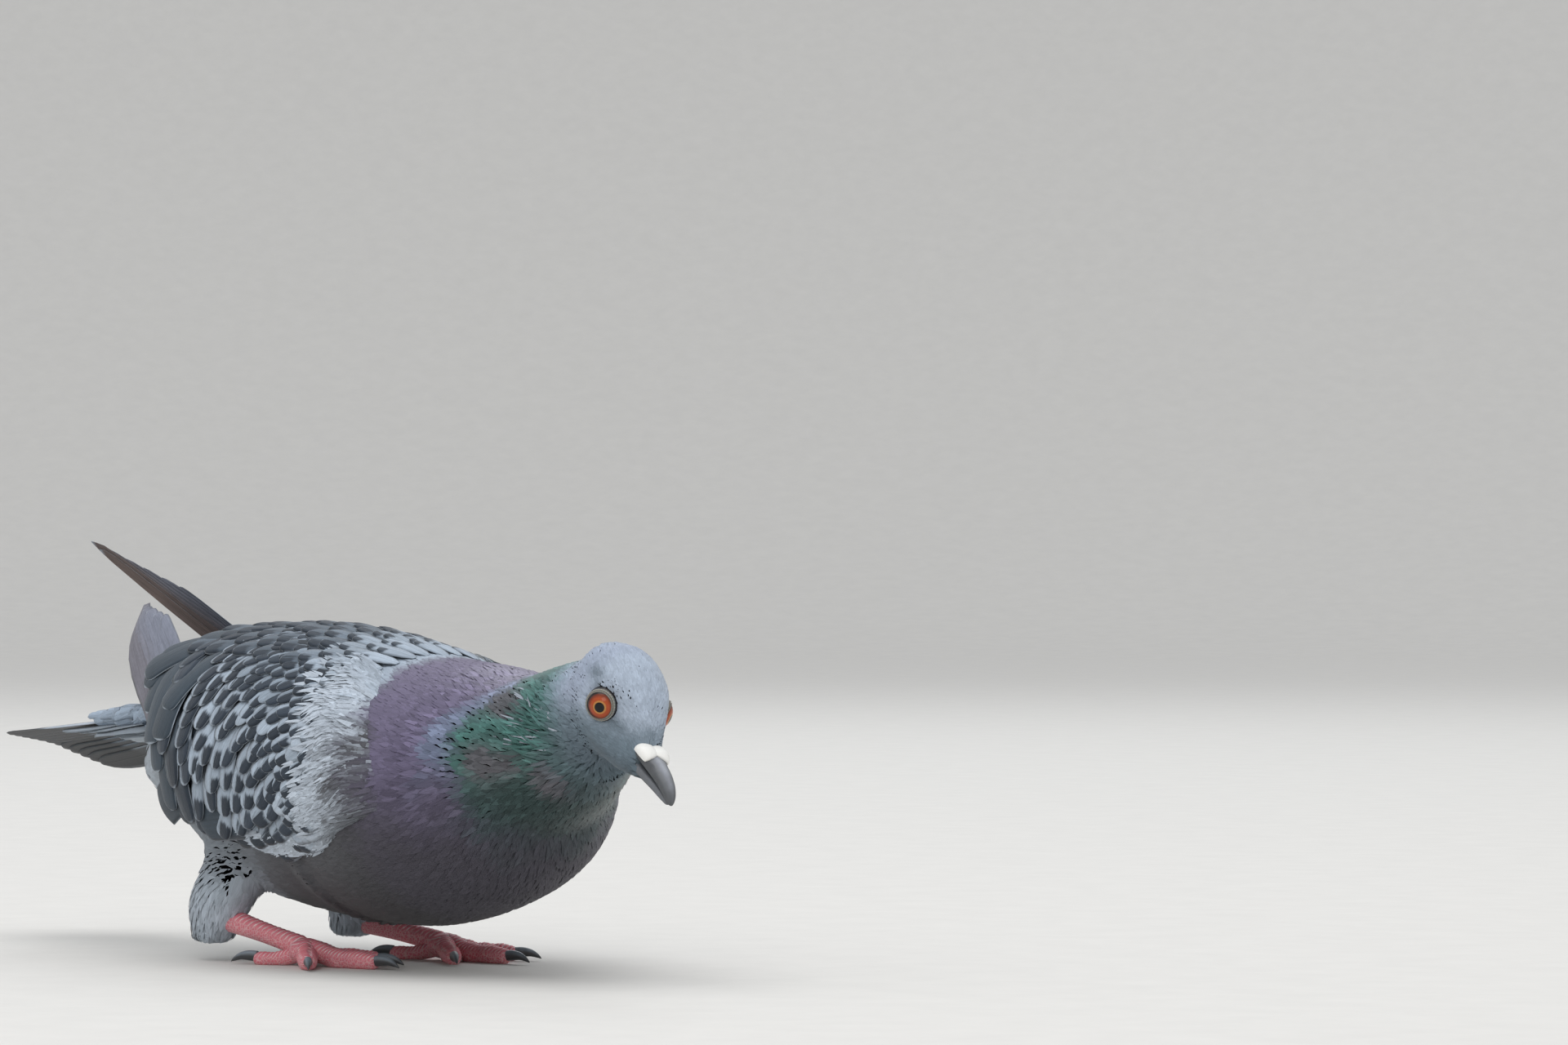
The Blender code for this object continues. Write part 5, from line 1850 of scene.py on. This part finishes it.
def under_tail_coverts(colours):
    """Rows of soft pale feathers that hide the roots of the tail from below."""
    rng = np.random.default_rng(10)
    rows = 6
    start = np.repeat(np.linspace(0.26, -0.16, rows), 9)
    seat = np.tile(np.linspace(-0.90, 0.90, 9), rows) + rng.uniform(-0.07, 0.07, 9 * rows)
    count = len(start)
    length = rng.uniform(0.28, 0.36, count)
    profile = np.array(VANE)
    lift = np.repeat(np.linspace(0.0, 1.6, rows), 9)

    def height(share):
        return lift[:, None, None] - 0.5 + 1.1 * share

    points = tail_blades(start, length, seat, 0.20 + 0 * seat, height, profile, 5, 0.3, -1)
    tint = each(colours.thigh, count) * uneven(rng, 0.08, count)
    marks = each([0.0, 0.10, 0.0], count)
    looks = plain_looks(tint, tint * 1.2, marks, np.full(count, 25.0), np.full(count, 4.0))
    places = stacked((np.arange(count) % 9 + 0.5) / 9, (np.arange(count) // 9 + 0.5) / rows)
    vane = vane_grid(profile[:, 0], 5)
    made = blades_piece("under_tail_coverts", points, vane, 5, len(VANE), looks, places, 0.09)
    finish_piece(face_outwards(made), bpy.data.materials["body_plumage"])


def tail_finish():
    """Tail plumage: blue grey with a dark band before the tip; below, own darker grey and painted shadow."""
    kit = Recipe("tail_plumage", roughness=0.6, sheen_weight=0.12, specular_ior_level=0.3)
    across, along, own = kit.parts(kit.attribute("vane", "Vector"))
    length, width, under = kit.parts(kit.attribute("size", "Vector"))
    aside, run = across * width, along * length
    barb = kit.noise(kit.vector(run * 1.8 - abs(aside) * 1.2, aside * 0.4, own * 91.0), 1.0, 2.0, 0.6)
    streak = kit.noise(kit.vector(aside * 1.8, run * 0.15, own * 91.0), 1.0, 3.0, 0.6)
    wobble = (streak - 0.5) * 0.05
    band = (along + wobble).between(0.70, 0.76)
    colour = kit.mix(kit.attribute("tint"), kit.attribute("dark"), band * 0.94)
    # The underside goes nearly black: partly its own darker grey, partly painted shadow.
    colour = kit.mix(colour, paint(44, 46, 49), under * 0.92)
    shaft = 1 - abs(aside).between(0.12, 0.3)
    rim = abs(across).between(0.86, 1.0)
    # Brightness: random streaks and barbs, a darker shaft, paler rims, and painted shadow on the underside.
    colour = kit.lit(colour, 0.66 + streak * 0.4 + barb * 0.26 - shaft * 0.2 + rim * 0.10 - under * 0.2)
    return kit.done(colour, 0.6 + streak * 0.15, barb * 0.6 + shaft, 0.4, 0.00025)


class PIGEON_OT_tail(PieceOperator, bpy.types.Operator):
    """Lays the twelve tail feathers, the middle ones on top, and the coverts over and under their roots"""

    bl_idname = "pigeon.tail"
    bl_label = "Tail"

    def build(self, colours, sizes):
        tail_vanes(colours)
        upper_tail_coverts(colours)
        under_tail_coverts(colours)


def on_eyeball(side, polar, turn, radius, gaze=0.0):
    """Points on a ball round the eye, by the angle from the way it looks and the turn round that way."""
    ahead = eye_axis(side, gaze)
    flat = np.array([ahead[1] * side, -ahead[0] * side, 0.0])
    out = (radius * np.sin(polar))[..., None]
    spot = flat * np.cos(turn)[..., None] * out + np.array([0, 0, 1.0]) * np.sin(turn)[..., None] * out
    spot = spot + ahead * (radius * np.cos(polar))[..., None]
    return from_head(spot + EYE_CENTRE * (1, side, 1))


def eyeball(name, side, finish):
    """The eyeball, a little flatter over the pupil."""
    polar, turn = crossed(np.linspace(0.02, 2.2, 56), circle(64))
    radius = EYE_RADIUS - 0.10 * np.exp(-((polar / 0.5) ** 2))
    points, quads, fans = tube_mesh(on_eyeball(side, polar, turn, radius, EYE_GAZE))
    across = np.where(polar < math.pi / 2, EYE_RADIUS * np.sin(polar), EYE_RADIUS)
    values = stacked(across, np.sin(turn), np.cos(turn)).reshape(-1, 3)
    values = np.concatenate([values, [[0, 0, 1], [EYE_RADIUS, 0, 1]]])
    flat = stacked(np.cos(turn) * polar, np.sin(turn) * polar).reshape(-1, 2) / EYE_RADIUS + 0.5
    flat = np.concatenate([flat, [[0.5, 0.5], [0.999, 0.5]]])
    looks = ("vane", values, flat, finish, "eyes", [f"eye_{name}"])
    closed_piece(f"eyeball_{name}", points, [quads, fans], *looks)


def eye_ring(name, side, finish, colours):
    """Two beaded ridges with a groove between, carried round the eyeball and tucked into the plumage."""
    section = np.array(EYE_RING)
    turn = circle(216)
    polar, turn = crossed(np.radians(section[:, 0]), turn)
    height = np.broadcast_to(section[:, 1:], polar.shape)
    outer = np.exp(-(((np.degrees(polar) - 57) / 3.5) ** 2)) * (height > 0)
    inner = np.exp(-(((np.degrees(polar) - 49.5) / 2) ** 2)) * (height > 0)
    bead = 0.06 * outer * np.cos(36 * turn) + 0.035 * inner * np.cos(54 * turn)
    rings = on_eyeball(side, polar, turn, EYE_RADIUS + height + bead)
    rows, size = polar.shape
    quads = grid_faces(rows + 1, size, True) % (rows * size)
    # Painted shade: dark brown where the ring lies low, in the groove between the ridges and at its edges.
    groove = np.clip(1 - rise(0.05, 0.22, height + bead), 0, 1)
    bare = np.broadcast_to(paint(150, 150, 142), (*polar.shape, 3))
    tint = mixed(bare, paint(62, 52, 48), groove * 0.85)
    tint = mixed(tint, colours.cheek * 0.9, rise(61, 66, np.degrees(polar)))
    shares = stacked(turn / 6.3, np.broadcast_to(np.arange(rows)[:, None] / rows, polar.shape))
    looks = ("tint", tint.reshape(-1, 3), shares.reshape(-1, 2), finish, "cere_skin")
    closed_piece(f"eye_ring_{name}", rings.reshape(-1, 3), [quads], *looks)


class PIGEON_OT_eyes(PieceOperator, bpy.types.Operator):
    """Makes each eye with its ring of bare granular skin"""

    bl_idname = "pigeon.eyes"
    bl_label = "Eyes"

    def build(self, colours, sizes):
        finish = eye_finish(colours)
        ring_finish = chalk_finish()
        for name, side in SIDES.items():
            eyeball(name, side, finish)
            eye_ring(name, side, ring_finish, colours)


def on_bill(table, x, angle, grow=0.0):
    """Points round one half of the bill, in the head's frame. Angles run from the top."""
    first, second, width = columns(table, x)
    middle, half = (first + second) / 2, np.abs(first - second) / 2
    up = np.cos(angle)
    squared = np.sign(up) * np.abs(up) ** 0.7
    return stacked(x, (width + grow) * np.sin(angle), middle + (half + grow) * squared)


def cere_lobes(colours):
    """A saddle over the root of the upper bill, swollen into a lobe on each side."""
    share, turn = crossed(np.linspace(0, 1, 44), np.radians(np.linspace(-84, 84, 90)))
    lobe = np.abs(np.sin(1.7 * turn)).clip(0, 1) ** 0.8
    x = CERE_START - 0.6 + share * (CERE_END - CERE_START + 0.6) * (0.74 + 0.26 * lobe)
    swell = np.sqrt((1 - (2 * share - 0.85) ** 2 / 1.35).clip(0.005, 1))
    edge = 0.35 + 0.65 * np.cos(turn / 1.15)
    wrinkle = 0.05 * np.sin(9 * share + 3 * lobe) * lobe
    thickness = (CERE_SADDLE * 0.7 + (CERE_LOBE * 0.66 - CERE_SADDLE * 0.7) * lobe + wrinkle) * swell * edge
    outer = on_bill(UPPER_BILL, x, turn, 0.25 + thickness)
    inner = on_bill(UPPER_BILL, x, turn, 0.0)
    points, faces = plate_mesh(from_head(outer), from_head(inner))
    # Painted shade: greyer along the notch between the lobes and at both ends, where the cere meets the feathers
    # and the bill.
    painted_crease_shade = (1 - lobe) * 0.35 + rise(0.75, 1.0, share) * 0.35 + (1 - rise(0.0, 0.12, share)) * 0.4
    unshaded_cere = np.broadcast_to(colours.cere, (*share.shape, 3))
    tint = mixed(unshaded_cere, paint(150, 152, 156), np.clip(painted_crease_shade, 0, 1) * 0.6)
    tint = np.concatenate([tint.reshape(-1, 3)] * 2)
    flat = stacked(share * 0.48 + 0.01, turn / 3.4 + 0.5).reshape(-1, 2)
    looks = ("tint", tint, np.concatenate([flat, flat + (0.5, 0)]), bpy.data.materials["cere_skin"])
    closed_piece("cere_lobes", points, [faces], *looks, "cere_skin", ["cere"])


class PIGEON_OT_bill(PieceOperator, bpy.types.Operator):
    """Makes the two halves of the bill, with the nostril slits, and the two-lobed cere"""

    bl_idname = "pigeon.bill"
    bl_label = "Bill and cere"

    def build(self, colours, sizes):
        horn = horn_finish("bill_horn", colours.horn * 0.8, paint(168, 172, 182), 0.1)
        for name, table in (("bill_upper", UPPER_BILL), ("bill_lower", LOWER_BILL)):
            share = np.linspace(0, 1, 48) ** 0.9
            ends = np.array(table)[:, 0]
            x = ends[0] - 1.5 + (ends[-1] - ends[0] + 1.5) * share
            turn = circle(40)
            x, angle = crossed(x, turn)
            rings = on_bill(table, np.maximum(x, ends[0]), angle)
            rings[..., 0] = x
            if name == "bill_lower":
                rings *= (1, 0.9, 1)
                rings[..., 2] += 0.7 * rise(15, 28, x)
            end = np.sqrt(np.clip(1 - ((x - ends[-1] + 0.9) / 0.95).clip(0, 1) ** 2, 0.05, 1))
            centre = rings.mean(axis=1, keepdims=True)
            rings = centre + (rings - centre) * end[..., None]
            if name == "bill_upper":
                low = np.cos(angle)
                slit = ((np.abs(np.sin(angle)) - 0.95) / 0.14) ** 2 * (low > -0.2)
                nostril = np.exp(-(((x - 20.2) / 1.5) ** 2) - slit) * (low > -0.25)
                rings[..., 1] *= 1 - 0.14 * nostril
            points, quads, fans = tube_mesh(from_head(rings))
            # Painted highlight along the top of the upper bill, fading towards the tip.
            highlight_and_pale = np.exp(-((np.minimum(angle, 2 * math.pi - angle) / 0.55) ** 2))
            highlight_and_pale = highlight_and_pale * (1 - 0.45 * rise(22, 26, x)) * (1 - 0.75 * rise(27, 30, x))
            if name == "bill_lower":
                # On the lower bill the same mix makes the sides paler.
                highlight_and_pale = 0.25 * rise(0.4, 1.0, np.abs(np.sin(angle)))
            values = with_ends(stacked(x, highlight_and_pale, angle / 7).reshape(-1, 3))
            flat = with_ends(stacked(angle / 6.4, (x - 11) / 21).reshape(-1, 2))
            looks = ("vane", values, flat, horn, "bill_horn", [name])
            closed_piece(f"{name}_horn", points, [quads, fans], *looks)
        cere_lobes(colours)


def rings_along(line, width, height, count):
    """Elliptical rings square to a line of points: one axis is level, the other as upright as it can be."""
    ahead = unit(np.gradient(line, axis=0))
    across = unit(np.cross([0, 0, 1], ahead))
    up = np.cross(ahead, across)
    turn = circle(count)
    side = across[:, None] * (width * np.cos(turn))[..., None]
    return line[:, None] + side + up[:, None] * (height * np.sin(turn))[..., None]


def rounded_ends(share, soft):
    """Full in the middle and closing like a half circle over the last share at both ends."""
    near = np.minimum(share, 1 - share) / soft
    return np.sqrt(1 - (1 - near.clip(0, 1)) ** 2).clip(0.06, 1)


def leg_piece(name, parts, finish, slot, nodes):
    """One piece from several tubes, each unrolled in a strip of its own of the map for baking."""
    places = []
    for number, part in enumerate(parts):
        vane = part[-1]
        reach = np.ptp(vane[:, 0]) + 1e-6
        flat = stacked((vane[:, 0] - vane[:, 0].min()) / reach, vane[:, 2] % 1.0)
        places.append(flat * (0.96, 0.96 / len(parts)) + (0.02, (number + 0.02) / len(parts)))
    points, faces = join_parts([part[:-1] for part in parts])
    values = np.concatenate([part[-1] for part in parts])
    closed_piece(name, points, faces, "vane", values, np.concatenate(places), finish, slot, nodes)


def scaled_tube(line, width, height, share, pitch, step, count, soft=0.08):
    """A tube with overlapping cross scales on its front: each scale rises slowly and ends in a step."""
    length = np.linalg.norm(np.diff(line, axis=0), axis=-1)
    along = np.concatenate([[0], np.cumsum(length)])
    turn = circle(count)
    front = np.clip(np.sin(turn), -1, 1)[None, :]
    phase = (along / pitch) % 1.0
    scale = step * (phase - 0.5)[:, None] * rise(0.0, 0.6, front)
    closing = rounded_ends(share, soft)[:, None]
    rings = rings_along(line, (width[:, None] + scale) * closing, (height[:, None] + scale) * closing, count)
    values = spread((along / pitch)[:, None], front, turn[None, :] / 6.4)
    values = values.reshape(-1, 3)
    points, quads, fans = tube_mesh(rings)
    return points, quads, fans, with_ends(values)


def shank(leg):
    share = np.linspace(0, 1, 120)
    start, end = np.array(leg["ankle"]), np.array(leg["toe_root"])
    line = start + (end - start) * share[:, None]
    width, height = columns(TARSUS, share)
    return scaled_tube(line, width, height, share, 1.7, 0.22, 32)


def foot_pad(leg):
    polar = np.linspace(0.05, math.pi - 0.05, 28)[:, None]
    turn = circle(36)[None, :]
    x, y, _ = leg["toe_root"]
    centre = np.array([x, y, PAD_RADII[2] + 0.35])
    ball = [np.sin(polar) * np.cos(turn), np.sin(polar) * np.sin(turn), np.cos(polar) + 0 * turn]
    rings = centre + np.stack(ball, axis=-1) * PAD_RADII
    points, quads, fans = tube_mesh(rings)
    values = spread(polar * 2.4, np.cos(polar) + 0 * turn, turn / 6.4).reshape(-1, 3)
    return points, quads, fans, with_ends(values)


def toe_line(leg, toe, table, share, start, length):
    root, end = np.array(leg["toe_root"][:2]), np.array(leg["toes"][toe], float)
    ahead = (end - root) / np.linalg.norm(end - root)
    height, radius = columns(table, share)
    flat = root + ahead * (start + share * length)[:, None]
    return np.column_stack([flat, height]), radius


def toe_tube(leg, toe):
    """A toe with a swelling at each joint, flat where it rests on the floor."""
    share = np.linspace(0, 1, 110)
    length = np.linalg.norm(np.array(leg["toes"][toe], float) - np.array(leg["toe_root"][:2]))
    line, radius = toe_line(leg, toe, HIND_TOE if toe == "hind" else TOE, share, 0, length)
    joints = {"inner": 2, "middle": 3, "outer": 4, "hind": 1}[toe]
    swell = 1 + 0.05 * np.cos(2 * math.pi * share * (joints + 0.5) + math.pi)
    radius = radius * swell
    points, quads, fans, values = scaled_tube(line, radius, radius, share, 1.25, 0.2, 28, 0.06)
    points[:, 2] = np.maximum(points[:, 2], 0)
    return points, quads, fans, values


def claw_tube(leg, toe):
    """A claw that arches up, then curves down to a fine tip."""
    share = np.linspace(0, 1, 40)
    length = np.linalg.norm(np.array(leg["toes"][toe], float) - np.array(leg["toe_root"][:2]))
    line, radius = toe_line(leg, toe, CLAW, share, length - 1.0, CLAW_LENGTH[toe] + 1.6)
    turn = circle(20)
    closing = np.sqrt(1 - share**8).clip(0.15, 1)[:, None]
    rings = rings_along(line, radius[:, None] * 0.82 * closing, radius[:, None] * closing, 20)
    rings[..., 2] = np.maximum(rings[..., 2], 0.02)
    points, quads, fans = tube_mesh(rings)
    # Painted highlight: the top of the claw is paler near its root, fading out towards the tip.
    top = rise(-0.1, 0.7, np.sin(turn))[None, :] * (1 - rise(0.55, 1.0, share))[:, None]
    values = spread(share[:, None] * 6, top, turn[None, :] / 6.4).reshape(-1, 3)
    return points, quads, fans, with_ends(values)


class PIGEON_OT_legs(PieceOperator, bpy.types.Operator):
    """Makes the scaled shanks, pads and toes, and the claws"""

    bl_idname = "pigeon.legs"
    bl_label = "Legs and claws"

    def build(self, colours, sizes):
        scales = scales_finish(colours)
        horn = horn_finish("claw_horn", colours.horn * 0.4, paint(132, 142, 152), 0.2)
        for name, leg in LEGS.items():
            parts = [shank(leg), foot_pad(leg)] + [toe_tube(leg, toe) for toe in leg["toes"]]
            leg_piece(f"leg_{name}", parts, scales, "leg_scales", [f"tarsus_{name}", f"foot_{name}"])
            claws = [claw_tube(leg, toe) for toe in leg["toes"]]
            nodes = [f"claw_{toe}_{name}" for toe in leg["toes"]]
            leg_piece(f"claws_{name}", claws, horn, "claw_horn", nodes)


def studio_light(name, place, target, size, power, tint):
    lamp = bpy.data.lights.new(name, "AREA")
    lamp.shape, lamp.size, lamp.energy, lamp.color = "DISK", size, power, tint
    made = place_object(name, lamp)
    made.location = place
    way = np.array(target) - np.array(place)
    made.rotation_mode = "QUATERNION"
    made.rotation_quaternion = Vector(way).to_track_quat("-Z", "Y")


def studio_camera():
    turn = math.radians(VIEW_TURN)
    right = np.array([math.cos(turn), math.sin(turn), 0])
    back = np.array([math.sin(turn), -math.cos(turn), 0])
    place = right * VIEW_ASIDE + back * VIEW_AWAY + SHIFT * MM
    lens = bpy.data.cameras.new("camera")
    lens.lens, lens.sensor_width = VIEW_LENS, VIEW_SENSOR
    made = place_object("camera", lens)
    axes = np.column_stack([right, [0, 0, 1], back])
    facing = Matrix(axes.tolist()).to_quaternion()
    made.matrix_world = Matrix.LocRotScale((*place[:2], VIEW_HEIGHT), facing, None)
    bpy.context.scene.camera = made


class PIGEON_OT_stage(PieceOperator, bpy.types.Operator):
    """Makes the pale floor, the soft lights and the camera"""

    bl_idname = "pigeon.stage"
    bl_label = "Studio"

    def build(self, colours, sizes):
        turn = circle(96)
        away = np.concatenate([[0.01], np.linspace(200, 4000, 20), np.linspace(4200, 7000, 24)])
        up = 2600 * np.clip((away - 4000) / 3000, 0, 1) ** 2
        away = away[:, None]
        rings = spread(away * np.cos(turn), away * np.sin(turn), up[:, None])
        floor = make_mesh("floor", rings.reshape(-1, 3) - SHIFT, [grid_faces(len(up), 96, True)[:, ::-1]])
        kit = Recipe("floor_paper", roughness=0.85)
        grain = kit.noise(kit.place(), 60.0, 4.0, 0.6)
        shade = 0.94 + grain * 0.1
        floor.data.materials.append(kit.done(kit.lit(paint(222, 220, 216), shade), 0.85, grain, 0.05, 0.0005))
        bpy.context.scene.view_settings.view_transform = "Standard"
        studio_light("sky", (0.1, -0.3, 2.4), (0, 0, 0.04), 2.6, 26.0, (1.0, 1.0, 1.0))
        studio_light("front", (2.0, -1.9, 1.3), (0, 0, 0.05), 1.4, 11.0, (1.0, 0.98, 0.95))
        studio_light("rim", (-1.6, 1.4, 1.6), (0, 0, 0.06), 1.0, 7.0, (0.93, 0.97, 1.0))
        world = bpy.data.worlds.new("studio")
        bpy.context.scene.world = world
        world.use_nodes = True
        world.node_tree.nodes["Background"].inputs["Color"].default_value = (0.88, 0.90, 0.93, 1)
        world.node_tree.nodes["Background"].inputs["Strength"].default_value = 0.8
        studio_camera()


class PIGEON_PT_panel(bpy.types.Panel):
    """Lists the pigeon's pieces"""

    bl_idname = "PIGEON_PT_panel"
    bl_label = "Pigeon"
    bl_space_type = "VIEW_3D"
    bl_region_type = "UI"
    bl_category = "Pigeon"

    def draw(self, context):
        for operator in OPERATORS:
            self.layout.operator(operator.bl_idname)
        for group in (context.scene.pigeon_sizes, context.scene.pigeon_colours):
            for name in group.__annotations__:
                self.layout.prop(group, name)


OPERATORS = (
    PIGEON_OT_skin,
    PIGEON_OT_head_coat,
    PIGEON_OT_neck_coat,
    PIGEON_OT_body_coat,
    PIGEON_OT_thigh_coat,
    PIGEON_OT_coverts,
    PIGEON_OT_mantle,
    PIGEON_OT_quills,
    PIGEON_OT_tail,
    PIGEON_OT_eyes,
    PIGEON_OT_bill,
    PIGEON_OT_legs,
    PIGEON_OT_stage,
)
CLASSES = (PigeonColours, PigeonSizes, *OPERATORS, PIGEON_PT_panel)


def register():
    for item in CLASSES:
        bpy.utils.register_class(item)
    bpy.types.Scene.pigeon_colours = bpy.props.PointerProperty(type=PigeonColours)
    bpy.types.Scene.pigeon_sizes = bpy.props.PointerProperty(type=PigeonSizes)


def unregister():
    del bpy.types.Scene.pigeon_sizes
    del bpy.types.Scene.pigeon_colours
    for item in reversed(CLASSES):
        bpy.utils.unregister_class(item)


def main():
    register()
    for operator in OPERATORS:
        group, name = operator.bl_idname.split(".")
        getattr(getattr(bpy.ops, group), name)()


if __name__ == "__main__":
    main()
